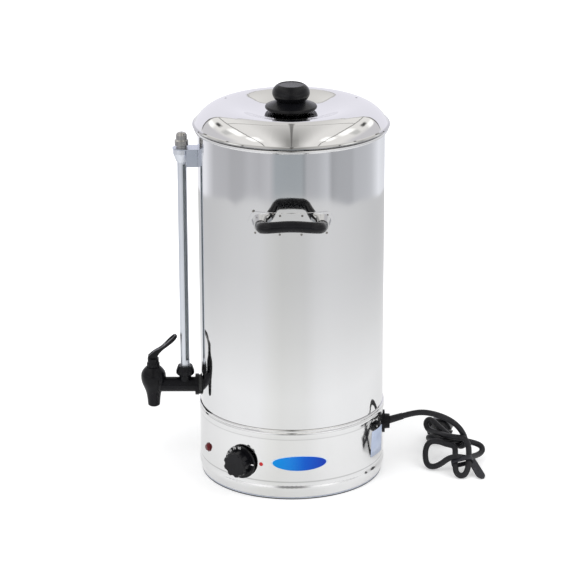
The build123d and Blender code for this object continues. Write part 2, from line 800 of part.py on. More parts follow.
def heel_point(step):
    swing = radians(lever_swing) * step / heel_steps
    down = -pi / 2 - swing
    reach = heel_rise + lever_slope * swing
    return (
        reach * cos(down) + lever_slope * sin(down),
        reach * sin(down) - lever_slope * cos(down),
    )


lever_plane = Plane(origin=(tap_axis, 0, pin_height), x_dir=(1, 0, 0), z_dir=(0, -1, 0))
heel = [heel_point(step) for step in range(heel_steps + 1)]
arm = radians(lever_rest)


def along(distance, offset):
    """A point on the lever's side view: distance from the pin, offset above the arm's middle line."""
    return (
        distance * cos(arm) - offset * sin(arm),
        distance * sin(arm) + offset * cos(arm),
    )


with BuildPart() as tap_lever:
    with BuildSketch(lever_plane):
        with BuildLine():
            Line((heel_flat, -heel_rise), heel[0])
            Spline(*heel)
            Spline(heel[-1], along(-2, hub_radius), along(6, 4.2), along(14, 2.7), along(28, 2.7),
                   along(lever_length, lever_tip))
            Line(along(lever_length, lever_tip), along(lever_length, lever_tip - lever_thickness))
            Spline(along(lever_length, lever_tip - lever_thickness), along(28, -1.5), along(14, -2.2),
                   (heel_flat + 1.2, -1.0), (heel_flat, -heel_rise))
        make_face()
    extrude(amount=lever_width / 2, both=True)
    # plan outline, square to the arm
    arm_plane = Plane(
        origin=(tap_axis, 0, pin_height), x_dir=(cos(arm), 0, sin(arm)), z_dir=(-sin(arm), 0, cos(arm))
    )
    with BuildSketch(arm_plane):
        with BuildLine():
            Polyline(
                (9, -lever_root_width / 2), (-14, -lever_root_width / 2),
                (-14, lever_root_width / 2), (9, lever_root_width / 2),
            )
            Spline((9, lever_root_width / 2), (22, 7.4), (lever_length - 9, lever_width / 2),
                   tangents=((1, 0), (1, 0)))
            RadiusArc((lever_length - 9, lever_width / 2), (lever_length - 9, -lever_width / 2),
                      lever_width / 2)
            Spline((9, -lever_root_width / 2), (22, -7.4), (lever_length - 9, -lever_width / 2),
                   tangents=((1, 0), (1, 0)))
        make_face()
    extrude(amount=20, both=True, mode=Mode.INTERSECT)
    # thumb recess in the paddle and a groove down its stalk
    with BuildSketch(arm_plane.offset(lever_dish)):
        with Locations((lever_length - 11, 0)):
            Ellipse(9.0, lever_width / 2 - 2.6)
        with Locations((18, 0)):
            SlotOverall(9.0, 3.6)
    extrude(amount=6, mode=Mode.SUBTRACT)
    # slot between the cheeks for the stem's eye, and the pin's hole
    with BuildSketch(lever_plane):
        Circle(eye_radius + 1.4)
        with Locations((0, -8)):
            Rectangle(40, 16)
        with Locations((-10, 0)):
            Rectangle(20, 24)
    extrude(amount=cheek_gap / 2, both=True, mode=Mode.SUBTRACT)
    with BuildSketch(lever_plane):
        Circle(pin_radius)
    extrude(amount=lever_width, both=True, mode=Mode.SUBTRACT)
save(tap_lever, "tap_lever")

with BuildPart() as lever_pin:
    with BuildSketch(lever_plane):
        Circle(pin_radius)
    extrude(amount=lever_root_width / 2, both=True)
save(lever_pin, "lever_pin")

# ---------------- tap shank with the gauge tee ----------------
collar_back = body_radius + gasket_width        # seat of the outer gasket on the collar
with BuildPart() as tap_shank:
    with BuildSketch(shank_plane.offset(seat_gap)):
        Circle(shank_radius)
    extrude(amount=-shank_start - collar_back - seat_gap)
    with BuildSketch(shank_plane.offset(-shank_start - collar_back)):
        Circle(collar_radius)
    extrude(amount=-collar_width)
    with BuildSketch(shank_plane.offset(-shank_start - collar_back)):
        Circle(thread_radius)
    extrude(amount=collar_back - thread_end)
    with BuildSketch(Plane(origin=(gauge_axis, 0, shank_height))):
        Circle(tee_radius)
    extrude(amount=tee_top - shank_height)
    with BuildSketch(shank_plane):
        Circle(stub_radius + seat_gap)
    extrude(amount=stub_length + 0.5, mode=Mode.SUBTRACT)
    with BuildSketch(shank_plane):
        Circle(shank_bore)
    extrude(amount=-shank_start, mode=Mode.SUBTRACT)
    with BuildSketch(Plane(origin=(gauge_axis, 0, shank_height))):
        Circle(tee_bore)
    extrude(amount=tee_top - shank_height, mode=Mode.SUBTRACT)
    with BuildSketch(Plane(origin=(gauge_axis, 0, glass_bottom - 0.3))):
        Circle(glass_radius + seat_gap)
    extrude(amount=tee_top - glass_bottom + 1, mode=Mode.SUBTRACT)
save(tap_shank, "tap_shank")

with BuildPart() as shank_outer_gasket:
    with BuildSketch(Plane.YZ.offset(-collar_back + seat_gap)):
        with Locations((0, shank_height)):
            Circle(gasket_radius)
            Circle(thread_radius + seat_gap, mode=Mode.SUBTRACT)
    extrude(amount=gasket_width + 2)
    with BuildSketch(Plane.XY.offset(shank_height - 20)):
        Circle(body_radius + seat_gap)
    extrude(amount=40, mode=Mode.SUBTRACT)
save(shank_outer_gasket, "shank_outer_gasket")

nut_seat = inner_radius - gasket_width
with BuildPart() as shank_inner_gasket:
    with BuildSketch(Plane.YZ.offset(-inner_radius - 1)):
        with Locations((0, shank_height)):
            Circle(gasket_radius - 1)
            Circle(thread_radius + seat_gap, mode=Mode.SUBTRACT)
    extrude(amount=gasket_width + 1)
    with BuildSketch(Plane.XY.offset(shank_height - 20)):
        Circle(inner_radius - seat_gap)
    extrude(amount=40, mode=Mode.INTERSECT)
save(shank_inner_gasket, "shank_inner_gasket")

with BuildPart() as shank_nut:
    with BuildSketch(Plane.YZ.offset(-nut_seat + seat_gap)):
        with Locations((0, shank_height)):
            hexagon(shank_nut_across)
            Circle(thread_radius + running_gap, mode=Mode.SUBTRACT)
    extrude(amount=shank_nut_width)
save(shank_nut, "shank_nut")

# ---------------- level gauge ----------------
gauge_upright = Axis((gauge_axis, 0, 0), (0, 0, 1))
gauge_plane = Plane(origin=(gauge_axis, 0, 0), x_dir=(1, 0, 0), z_dir=(0, -1, 0))


def turned_piece(name, points):
    """A piece turned about the gauge's axis from its closed outline of (radius, height) points."""
    with BuildPart() as piece:
        with BuildSketch(gauge_plane):
            with BuildLine():
                Polyline(*points, close=True)
            make_face()
        revolve(axis=gauge_upright)
    save(piece, name)


seal_low = tee_top + seat_gap
seal_high = seal_low + seal_height - 0.2
turned_piece("gauge_seal", [
    (glass_radius + seat_gap, seal_low), (tee_radius - 0.2, seal_low),
    (tee_radius - 0.2, seal_high), (glass_radius + seat_gap, seal_high),
])
turned_piece("gauge_glass", [
    (glass_bore, glass_bottom), (glass_radius, glass_bottom),
    (glass_radius, glass_top), (glass_bore, glass_top),
])

nut_ceiling = gauge_nut_shoulder + seat_gap
with BuildPart() as gauge_nut:
    with BuildSketch(gauge_plane):
        with BuildLine():
            Polyline(
                (tee_radius + seat_gap, gauge_nut_low), (gauge_nut_radius - 1.5, gauge_nut_low),
                (gauge_nut_radius, gauge_nut_low + 2), (gauge_nut_radius, gauge_nut_shoulder - 3.5),
                (gauge_nut_top_radius, gauge_nut_top), (glass_radius + 0.3, gauge_nut_top),
                (glass_radius + 0.3, nut_ceiling), (tee_radius + seat_gap, nut_ceiling), close=True,
            )
        make_face()
    revolve(axis=gauge_upright)
    # grip flutes
    with BuildSketch(Plane.XY.offset(gauge_nut_low - 1)):
        with Locations((gauge_axis, 0)):
            with PolarLocations(gauge_nut_radius + 0.9, 16):
                Circle(1.6)
    extrude(amount=gauge_nut_shoulder - gauge_nut_low - 1, mode=Mode.SUBTRACT)
save(gauge_nut, "gauge_nut")

guard_low = gauge_nut_top + seat_gap
guard_high = ferrule_flare - 1
with BuildPart() as gauge_guard:
    with BuildSketch(Plane.XY.offset(guard_low)):
        with Locations((gauge_axis, 0)):
            Circle(guard_radius)
            Circle(guard_radius - guard_sheet, mode=Mode.SUBTRACT)
    extrude(amount=guard_high - guard_low)
    # sight slot: a wedge cut out of the tube
    wedge = [radians(guard_slot_turn - 90 + s * guard_slot_half) for s in (-1, 1)]
    with BuildSketch(Plane.XY.offset(guard_slot_low)):
        with BuildLine():
            Polyline(
                (gauge_axis, 0), (gauge_axis + 12 * cos(wedge[0]), 12 * sin(wedge[0])),
                (gauge_axis + 12 * cos(wedge[1]), 12 * sin(wedge[1])), close=True,
            )
        make_face()
    extrude(amount=guard_slot_high - guard_slot_low, mode=Mode.SUBTRACT)
save(gauge_guard, "gauge_guard")

ferrule_bore = guard_radius + seat_gap
seal_pocket = 8.6
turned_piece("gauge_ferrule", [
    (ferrule_bore, ferrule_low), (ferrule_bore + 1.0, ferrule_low),
    (ferrule_radius, ferrule_flare), (ferrule_radius, ferrule_top),
    (seal_pocket, ferrule_top), (seal_pocket, ferrule_flare), (ferrule_bore, ferrule_flare),
])
top_seal_low = ferrule_flare + seat_gap
turned_piece("gauge_top_seal", [
    (glass_radius + seat_gap, top_seal_low), (seal_pocket - seat_gap, top_seal_low),
    (seal_pocket - seat_gap, ferrule_flare + seal_height),
    (glass_radius + seat_gap, ferrule_flare + seal_height),
])
cap_low = ferrule_flare + seal_height + seat_gap
turned_piece("gauge_cap", [
    (glass_radius + 0.4, cap_low), (cap_neck_radius, cap_low), (cap_neck_radius, cap_ring_low),
    (cap_ring_radius - 0.6, cap_ring_low), (cap_ring_radius, cap_ring_low + 1.2),
    (cap_ring_radius, cap_ring_high - 1.6), (cap_dome_radius, cap_ring_high),
    (cap_dome_radius, cap_top - 4), (cap_dome_radius - 1.5, cap_top - 1.2),
    (cap_dome_radius - 4, cap_top), (1.0, cap_top), (1.0, glass_top + 4),
    (glass_radius + 0.4, glass_top + 1),
])

bracket_top = ferrule_top + seat_gap + bracket_sheet
with BuildPart() as gauge_bracket:
    # top plate with a round nose over the ferrule
    with BuildSketch(Plane.XY.offset(ferrule_top + seat_gap)):
        with Locations((gauge_axis, 0)):
            Circle(bracket_half)
        with Locations(((gauge_axis - body_radius + 4) / 2, 0)):
            Rectangle(-gauge_axis - body_radius + 4, 2 * bracket_half)
        with Locations((gauge_axis, 0)):
            Circle(cap_neck_radius + 0.3, mode=Mode.SUBTRACT)
    extrude(amount=bracket_sheet)
    # two cheeks and the web on the wall
    with BuildSketch(Plane.XY.offset(bracket_low)):
        with Locations(*[
            (-(bracket_reach + body_radius - 4) / 2, side * (bracket_half - bracket_sheet / 2))
            for side in (-1, 1)
        ]):
            Rectangle(bracket_reach - body_radius + 4, bracket_sheet)
        with Locations((-body_radius, 0)):
            Rectangle(2 * bracket_sheet + 2, 2 * bracket_half)
    extrude(amount=bracket_top - bracket_low)
    with BuildSketch(Plane.XY.offset(bracket_low - 1)):
        Circle(body_radius + seat_gap)
    extrude(amount=bracket_top - bracket_low + 2, mode=Mode.SUBTRACT)
    with BuildSketch(Plane.YZ.offset(-body_radius - 6)):
        with Locations(*[(0, h) for h in rivet_heights]):
            Circle(rivet_radius + seat_gap)
    extrude(amount=8, mode=Mode.SUBTRACT)
save(gauge_bracket, "gauge_bracket")

rivet_outer = body_radius + bracket_sheet + 1 + seat_gap
with BuildPart() as bracket_rivets:
    for height in rivet_heights:
        with Locations(Plane(origin=(-rivet_outer, 0, height), z_dir=(-1, 0, 0))):
            Cylinder(3.2, 1.2, align=(Align.CENTER, Align.CENTER, Align.MIN))
        with Locations(Plane(origin=(-inner_radius + 0.2, 0, height), z_dir=(1, 0, 0))):
            Cylinder(2.8, 1.0, align=(Align.CENTER, Align.CENTER, Align.MIN))
        with Locations(Plane(origin=(-rivet_outer, 0, height), z_dir=(1, 0, 0))):
            Cylinder(
                rivet_radius, rivet_outer - inner_radius + 0.4,
                align=(Align.CENTER, Align.CENTER, Align.MIN),
            )
save(bracket_rivets, "bracket_rivets")

# ---------------- thermostat ----------------
control_face = wall_plane(knob_turn, panel_height, control_depth)
panel_face = wall_plane(knob_turn, panel_height, skirt_outer + seat_gap)
with BuildPart() as thermostat_body:
    with BuildSketch(control_face):
        RectangleRounded(control_size, control_size, 4)
    extrude(amount=-control_deep)
    with BuildSketch(control_face):
        Circle(spindle_radius + 2.4)
        with Locations((0, screw_spread / 2), (0, -screw_spread / 2)):
            Circle(screw_radius + 1.6)
    extrude(amount=skirt_inner - control_depth - 0.15)
    with BuildSketch(control_face.offset(4)):
        Circle(spindle_radius + running_gap)
        with Locations((0, screw_spread / 2), (0, -screw_spread / 2)):
            Circle(screw_radius + seat_gap)
    extrude(amount=-16, mode=Mode.SUBTRACT)
save(thermostat_body, "thermostat_body")

with BuildPart() as thermostat_screws:
    with BuildSketch(panel_face):
        with Locations((0, screw_spread / 2), (0, -screw_spread / 2)):
            Circle(screw_radius + 1.7)
    extrude(amount=1.6)
    with BuildSketch(panel_face):
        with Locations((0, screw_spread / 2), (0, -screw_spread / 2)):
            Circle(screw_radius)
    extrude(amount=-10)
save(thermostat_screws, "thermostat_screws")

flat_start = dial_back + 3
with BuildPart() as thermostat_spindle:
    with BuildSketch(wall_plane(knob_turn, panel_height, control_depth - 10)):
        Circle(spindle_radius)
    extrude(amount=spindle_end - control_depth + 10)
    with BuildSketch(wall_plane(knob_turn, panel_height, flat_start)):
        with Locations((0, spindle_radius + 0.5)):
            Rectangle(4 * spindle_radius, spindle_radius)
    extrude(amount=spindle_end - flat_start + 1, mode=Mode.SUBTRACT)
save(thermostat_spindle, "thermostat_spindle")

with BuildPart() as thermostat_knob:
    with BuildSketch(wall_plane(knob_turn, panel_height, dial_back)):
        Circle(dial_radius)
    extrude(amount=dial_front - dial_back, taper=12)
    with BuildSketch(wall_plane(knob_turn, panel_height, dial_front)):
        Circle(dial_grip_radius)
        with PolarLocations(dial_grip_radius + 2.3, dial_flutes, start_angle=20):
            Circle(4.4, mode=Mode.SUBTRACT)
    extrude(amount=grip_front - dial_front, taper=3)
    outward = Axis((0, 0, 0), wall_plane(knob_turn, panel_height, 0).z_dir)
    chamfer(thermostat_knob.faces().sort_by(outward)[-1].edges(), length=0.8)
    # hollow back, hub bore with its flat
    with BuildSketch(wall_plane(knob_turn, panel_height, dial_back)):
        Circle(dial_radius - 1.6)
        Circle(spindle_radius + 3, mode=Mode.SUBTRACT)
    extrude(amount=1.2, mode=Mode.SUBTRACT)
    with BuildSketch(wall_plane(knob_turn, panel_height, dial_back - 1)):
        Circle(spindle_radius + seat_gap)
    extrude(amount=flat_start - dial_back + 1, mode=Mode.SUBTRACT)
    with BuildSketch(wall_plane(knob_turn, panel_height, flat_start)):
        Circle(spindle_radius + seat_gap)
        with Locations((0, spindle_radius + 0.5 + seat_gap)):
            Rectangle(4 * spindle_radius, spindle_radius, mode=Mode.SUBTRACT)
    extrude(amount=spindle_end - flat_start + seat_gap, mode=Mode.SUBTRACT)
save(thermostat_knob, "thermostat_knob")

# ---------------- pilot lamp ----------------
lamp_face = wall_plane(lamp_turn, lamp_height, skirt_outer + seat_gap)
with BuildPart() as pilot_lamp_lens:
    with BuildSketch(lamp_face):
        Circle(lamp_flange)
    extrude(amount=1.2)
    with BuildSketch(lamp_face.offset(1.2)):
        Circle(lamp_flange - 1.2)
    extrude(amount=lens_front - skirt_outer - 1.2, taper=25)
    with BuildSketch(lamp_face):
        Circle(lamp_radius)
    extrude(amount=-2.5)
save(pilot_lamp_lens, "pilot_lamp_lens")

with BuildPart() as pilot_lamp_body:
    with BuildSketch(lamp_face.offset(-2.5 - seat_gap)):
        Circle(lamp_radius)
    extrude(amount=-22)
    with BuildSketch(lamp_face.offset(-24.5 - seat_gap)):
        with Locations((-2.4, 0), (2.4, 0)):
            Rectangle(0.8, 4)
    extrude(amount=-8)
save(pilot_lamp_body, "pilot_lamp_body")

with BuildPart() as pilot_lamp_clip:
    with BuildSketch(wall_plane(lamp_turn, lamp_height, skirt_inner - 0.5)):
        Circle(9)
        Circle(lamp_radius + running_gap, mode=Mode.SUBTRACT)
    extrude(amount=-0.8)
save(pilot_lamp_clip, "pilot_lamp_clip")

# ---------------- safety cut-out with its reset button ----------------
cutout_base = Plane(origin=(cutout_place[0], cutout_place[1], plate_top + seat_gap))
with BuildPart() as thermal_cutout:
    with BuildSketch(cutout_base):
        RectangleRounded(cutout_size[0], cutout_size[1], 2)
    extrude(amount=cutout_size[2])
    with BuildSketch(cutout_base):
        Circle(button_radius + running_gap)
    extrude(amount=8, mode=Mode.SUBTRACT)
save(thermal_cutout, "thermal_cutout")

with BuildPart() as reset_button:
    with BuildSketch(Plane(origin=(cutout_place[0], cutout_place[1], button_low))):
        Circle(button_radius)
    extrude(amount=plate_top + 8 - button_travel - 1 - button_low)
    chamfer(reset_button.edges().filter_by(GeomType.CIRCLE).sort_by(Axis.Z)[0], length=0.5)
save(reset_button, "reset_button")

# ---------------- terminal block and earth ----------------
terminal_base = Plane(origin=(terminal_place[0], terminal_place[1], plate_top + seat_gap))
terminal_pitch = terminal_size[1] / terminal_count
with BuildPart() as terminal_block:
    with BuildSketch(terminal_base):
        Rectangle(terminal_size[0], terminal_size[1])
    extrude(amount=terminal_size[2])
    with BuildSketch(terminal_base.offset(terminal_size[2])):
        with GridLocations(0, terminal_pitch, 1, terminal_count):
            Circle(2.6)
    extrude(amount=-7, mode=Mode.SUBTRACT)
    with BuildSketch(terminal_base.offset(terminal_size[2])):
        with GridLocations(0, terminal_pitch, 1, terminal_count - 1):
            Rectangle(terminal_size[0], 2)
    extrude(amount=-5, mode=Mode.SUBTRACT)
save(terminal_block, "terminal_block")

with BuildPart() as terminal_screws:
    with BuildSketch(terminal_base.offset(terminal_size[2] - 7 + seat_gap)):
        with GridLocations(0, terminal_pitch, 1, terminal_count):
            Circle(2.4)
    extrude(amount=5)
save(terminal_screws, "terminal_screws")

with BuildPart() as earth_stud:
    with Locations((earth_place[0], earth_place[1], plate_lift - seat_gap)):
        Cylinder(3.5, 1.6, align=(Align.CENTER, Align.CENTER, Align.MAX))
        Cylinder(earth_radius, 14, align=(Align.CENTER, Align.CENTER, Align.MIN))
save(earth_stud, "earth_stud")

with BuildPart() as earth_nut:
    with BuildSketch(Plane(origin=(earth_place[0], earth_place[1], plate_top + seat_gap))):
        hexagon(7)
        Circle(earth_radius + running_gap, mode=Mode.SUBTRACT)
    extrude(amount=3.2)
save(earth_nut, "earth_nut")

# ---------------- mains lead ----------------
gland_face = wall_plane(90, gland_height, 0)
with BuildPart() as cord_gland:
    with BuildSketch(gland_face.offset(body_radius - 3)):
        Circle(gland_flange)
    extrude(amount=gland_flange_front - body_radius + 3)
    with BuildSketch(gland_face.offset(gland_flange_front)):
        Circle(gland_body)
    extrude(amount=gland_front - gland_flange_front, taper=4)
    with BuildSketch(Plane.XY.offset(gland_height - gland_flange - 5)):
        Circle(skirt_outer + seat_gap)
    extrude(amount=2 * gland_flange + 10, mode=Mode.SUBTRACT)
    with BuildSketch(gland_face.offset(gland_front - 1)):
        Circle(gland_thread)
    extrude(amount=118 - gland_front + 1)
    with BuildSketch(gland_face.offset(gland_front + 1)):
        with Locations((0, boot_rise)):
            Circle(boot_radius)
    extrude(amount=116 - gland_front - 1, mode=Mode.SUBTRACT)
    # flared mouth, so that the boot can lean
    with BuildSketch(gland_face.offset(gland_front + 0.1)):
        with Locations((0, boot_rise)):
            Circle(boot_radius + 1.0)
    extrude(amount=-2.6, taper=20, mode=Mode.SUBTRACT)
save(cord_gland, "cord_gland")

with BuildPart() as gland_nut:
    with BuildSketch(gland_face.offset(skirt_inner - 1.4)):
        hexagon(gland_nut_across)
        Circle(gland_thread + running_gap, mode=Mode.SUBTRACT)
    extrude(amount=-gland_nut_width)
save(gland_nut, "gland_nut")

tilt = radians(boot_tilt)
boot_root = (gland_front, 0, gland_height + boot_rise)
boot_way = (cos(tilt), 0, sin(tilt))
boot_end = (
    boot_root[0] + boot_length * cos(tilt), 0, boot_root[2] + boot_length * sin(tilt),
)
cord_exit = (boot_end[0] + seat_gap * cos(tilt), 0, boot_end[2] + seat_gap * sin(tilt))
with BuildPart() as strain_relief:
    with BuildSketch(gland_face.offset(119)):
        with Locations((0, boot_rise)):
            Circle(boot_radius - seat_gap)
    extrude(amount=gland_front - 119)
    with Locations(boot_root):
        Sphere(boot_radius - seat_gap)
    with BuildSketch(Plane(origin=boot_root, z_dir=boot_way)):
        Circle(boot_radius - seat_gap)
    with BuildSketch(Plane(origin=boot_end, z_dir=boot_way)):
        Circle(boot_end_radius)
    loft()
save(strain_relief, "strain_relief")

# The lead's free stretch: route points chosen by hand, from the boot over its hump to the hank.
cord_route = [
    cord_exit,
    (body_radius + 46.3, 0.0, 79.3),
    (body_radius + 66.2, 0.0, 79.5),
    (body_radius + 92.8, 0.3, 70.6),
    (body_radius + 110.4, 0.9, 56.8),
    (body_radius + 119.9, 2.6, 39.4),
    (body_radius + 123.0, 4.4, 24.6),
]


def corner_radii(points, share=0.45):
    """Largest tangent arcs that the runs beside each corner allow."""
    radii = []
    for before, corner, after in zip(points, points[1:], points[2:]):
        run_in, run_out = Vector(*corner) - Vector(*before), Vector(*after) - Vector(*corner)
        half_turn = radians(run_in.get_angle(run_out)) / 2
        radii.append(share * min(run_in.length, run_out.length) / tan(half_turn))
    return radii


cord_radii = corner_radii(cord_route)
with BuildPart() as cord_tube:
    with BuildLine() as cord_path:
        FilletPolyline(*cord_route, radius=cord_radii)
    cord_line = cord_path.wires()[0]
    with BuildSketch(Plane(origin=cord_exit, z_dir=cord_line % 0)):
        Circle(cord_radius)
    sweep(path=cord_line)
print("lead radii", [round(r, 1) for r in cord_radii])
print("lead tube length", round(cord_line.length, 1),
      "volume over section times length",
      round(cord_tube.part.volume / (cord_line.length * pi * cord_radius**2), 4))
save(cord_tube, "cord_tube")

# The tied rest of the lead: the outer shape of its loops, which fan out from the middle.
with BuildPart() as cord_hank:
    for tip, width, height in hank_lobes:
        middle = ((hank_middle[0] + tip[0]) / 2, (hank_middle[1] + tip[1]) / 2)
        with BuildSketch(Plane.XY):
            SlotCenterPoint(middle, tip, width)
        extrude(amount=height, taper=5)
    with BuildSketch(Plane.XY):
        SlotCenterPoint(hank_middle, hank_end, hank_width)
    extrude(amount=hank_height)
    # the waist of the front loop, where the strap closes round it
    waist_face = Plane.XZ.offset(-tie_place[1] - tie_width / 2 - body_gap)
    with BuildSketch(waist_face):
        with Locations((tie_place[0], 0)):
            Rectangle(4 * waist_half, 4 * waist_height, align=(Align.CENTER, Align.MIN))
            Rectangle(
                2 * waist_half, waist_height, align=(Align.CENTER, Align.MIN), mode=Mode.SUBTRACT,
            )
    extrude(amount=tie_width + 2 * body_gap, mode=Mode.SUBTRACT)
save(cord_hank, "cord_hank")

tie_inner = waist_half + seat_gap
with BuildPart() as cord_tie:
    with BuildSketch(Plane.XZ.offset(-tie_place[1] - tie_width / 2)):
        with Locations((tie_place[0], 0)):
            Rectangle(
                2 * (tie_inner + tie_sheet), waist_height + seat_gap + tie_sheet,
                align=(Align.CENTER, Align.MIN),
            )
            Rectangle(
                2 * tie_inner, waist_height + seat_gap,
                align=(Align.CENTER, Align.MIN), mode=Mode.SUBTRACT,
            )
    extrude(amount=tie_width)
    with BuildSketch(Plane.XY):
        with BuildLine():
            tail_line = Line(tail_start, tail_end)
        tail_middle = tail_line @ 0.5
        tail_turn = degrees(atan2(tail_end[1] - tail_start[1], tail_end[0] - tail_start[0]))
        with Locations(Location(tail_middle, (0, 0, 1), tail_turn)):
            Rectangle(tail_line.length, tail_width)
    extrude(amount=tie_sheet)
save(cord_tie, "cord_tie")

# ---------------- mains plug ----------------
plug_way = (cos(radians(plug_turn)), sin(radians(plug_turn)), 0)
plug_face = Plane(origin=(*plug_place, plug_radius + 0.3), x_dir=(0, 0, 1), z_dir=plug_way)
with BuildPart() as mains_plug:
    with BuildSketch(plug_face):
        Circle(plug_radius)
        # grooves for the earth clips, on two opposite sides
        with Locations((0, plug_radius), (0, -plug_radius)):
            Rectangle(6.5, 5, mode=Mode.SUBTRACT)
    extrude(amount=-plug_disc)
    with BuildSketch(plug_face.offset(-plug_disc)):
        Circle(plug_radius - 3)
    with BuildSketch(plug_face.offset(-plug_disc - plug_taper)):
        Circle(plug_neck)
    loft()
    with BuildSketch(plug_face.offset(-plug_disc - plug_taper)):
        Circle(plug_boot)
    extrude(amount=-plug_boot_length)
    with BuildSketch(plug_face):
        with Locations((0, plug_pin_pitch / 2), (0, -plug_pin_pitch / 2)):
            Circle(plug_pin_radius + seat_gap)
    extrude(amount=-8, mode=Mode.SUBTRACT)
save(mains_plug, "mains_plug")

with BuildPart() as plug_pins:
    with BuildSketch(plug_face.offset(-8 + seat_gap)):
        with Locations((0, plug_pin_pitch / 2), (0, -plug_pin_pitch / 2)):
            Circle(plug_pin_radius)
    extrude(amount=8 + plug_pin_length)
    tips = plug_pins.faces().sort_by(Axis((0, 0, 0), plug_way))[-2:].edges()
    chamfer(tips, length=1.2)
save(plug_pins, "plug_pins")
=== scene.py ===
import math

import bpy
from mathutils import Matrix, Vector


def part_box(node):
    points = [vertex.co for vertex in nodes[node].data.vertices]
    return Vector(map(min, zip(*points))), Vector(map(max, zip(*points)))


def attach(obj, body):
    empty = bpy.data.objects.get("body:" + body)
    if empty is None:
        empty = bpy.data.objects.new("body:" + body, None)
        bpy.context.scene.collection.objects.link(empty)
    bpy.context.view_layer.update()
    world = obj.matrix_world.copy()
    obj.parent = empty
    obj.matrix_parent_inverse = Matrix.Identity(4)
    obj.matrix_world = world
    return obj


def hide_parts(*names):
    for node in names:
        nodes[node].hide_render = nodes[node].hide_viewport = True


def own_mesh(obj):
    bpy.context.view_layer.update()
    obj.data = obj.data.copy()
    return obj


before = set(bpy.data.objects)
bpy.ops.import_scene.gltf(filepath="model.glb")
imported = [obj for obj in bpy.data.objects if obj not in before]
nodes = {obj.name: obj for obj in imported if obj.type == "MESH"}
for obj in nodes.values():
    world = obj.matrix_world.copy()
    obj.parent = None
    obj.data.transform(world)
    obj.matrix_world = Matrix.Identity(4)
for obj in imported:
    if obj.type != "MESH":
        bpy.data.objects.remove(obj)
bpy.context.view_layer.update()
print("frame loaded,", len(nodes), "nodes")

# Lengths are in metres, turns in degrees from the front, positive to the right.
# X points to the lead, -Y to the front, Z up the tank's axis.
urn = {
    "skirt": 0.13095,  # radius of the skirt's outer side
    "handlePlate": 0.13125,  # radius of the handle plates' outer side
    "dialTurn": -32.3, "dialHeight": 0.051,
    "dialFace": 0.1368,  # from the tank's axis out to the dial's face
}


def addObject(name, data):
    thing = bpy.data.objects.new(name, data)
    bpy.context.scene.collection.objects.link(thing)
    return thing


cameraSetup = {
    "lens": 161.746, "sensor": 36.0, "near": 0.05, "far": 60,
    "place": (-0.00488, -3.4547, 1.453), "tilt": 71.076, "roll": -0.158,
}


def placeCamera():
    data = bpy.data.cameras.new("camera")
    data.lens = cameraSetup["lens"]
    data.sensor_width = cameraSetup["sensor"]
    data.clip_start = cameraSetup["near"]
    data.clip_end = cameraSetup["far"]
    camera = addObject("camera", data)
    camera.matrix_world = (
        Matrix.Translation(cameraSetup["place"])
        @ Matrix.Rotation(math.radians(cameraSetup["tilt"]), 4, "X")
        @ Matrix.Rotation(math.radians(cameraSetup["roll"]), 4, "Z")
    )
    bpy.context.scene.camera = camera
    print("camera placed")


placeCamera()

# Ways to stretch a noise: not at all, along an upright grain, round the axis.
even = (1, 1, 1)
upright = (1, 1, 0.12)
around = (0.3, 0.3, 6)
noiseSpread = (0.3, 0.7)  # most of a noise lies between these


def startMaterial(name):
    material = bpy.data.materials.new(name)
    material.use_nodes = True
    tree = material.node_tree
    return material, tree, tree.nodes["Principled BSDF"]


def addNode(tree, kind, **values):
    node = tree.nodes.new(kind)
    for key, value in values.items():
        setattr(node, key, value)
    return node


def addMath(tree, operation, first, second=None, third=None):
    node = addNode(tree, "ShaderNodeMath", operation=operation)
    for index, value in enumerate((first, second, third)):
        if value is None:
            continue
        if isinstance(value, (int, float)):
            node.inputs[index].default_value = value
        else:
            tree.links.new(value, node.inputs[index])
    return node.outputs[0]


def addRange(tree, value, low, high, outLow=0, outHigh=1, smooth=False):
    node = addNode(tree, "ShaderNodeMapRange")
    if smooth:
        node.interpolation_type = "SMOOTHSTEP"
    tree.links.new(value, node.inputs["Value"])
    limits = {"From Min": low, "From Max": high, "To Min": outLow, "To Max": outHigh}
    for key, number in limits.items():
        node.inputs[key].default_value = number
    return node.outputs["Result"]


def addNoise(tree, scale, detail=3, stretch=even):
    place = addNode(tree, "ShaderNodeTexCoord")
    mapping = addNode(tree, "ShaderNodeMapping")
    mapping.inputs["Scale"].default_value = stretch
    noise = addNode(tree, "ShaderNodeTexNoise")
    noise.inputs["Scale"].default_value = scale
    noise.inputs["Detail"].default_value = detail
    tree.links.new(place.outputs["Object"], mapping.inputs["Vector"])
    tree.links.new(mapping.outputs["Vector"], noise.inputs["Vector"])
    return noise.outputs["Fac"]


def addRamp(tree, value, stops):
    # a stop is a position and a colour, or a position and one number for a grey
    ramp = addNode(tree, "ShaderNodeValToRGB")
    elements = ramp.color_ramp.elements
    while len(elements) < len(stops):
        elements.new(0.5)
    for element, (position, color) in zip(elements, stops):
        element.position = position
        element.color = (*color, 1) if isinstance(color, tuple) else (color, color, color, 1)
    tree.links.new(value, ramp.inputs["Fac"])
    return ramp.outputs["Color"]


def addMix(tree, factor, first, second, blend="MIX"):
    mix = addNode(tree, "ShaderNodeMix", data_type="RGBA", blend_type=blend)
    for index, value in ((0, factor), (6, first), (7, second)):  # the factor and both colours
        if isinstance(value, tuple):
            mix.inputs[index].default_value = (*value, 1)
        elif isinstance(value, (int, float)):
            mix.inputs[index].default_value = value
        else:
            tree.links.new(value, mix.inputs[index])
    return mix.outputs[2]


def addTone(tree, scale, detail, dark, light, stretch=even):
    low, high = noiseSpread
    return addRamp(tree, addNoise(tree, scale, detail, stretch), [(low, dark), (high, light)])


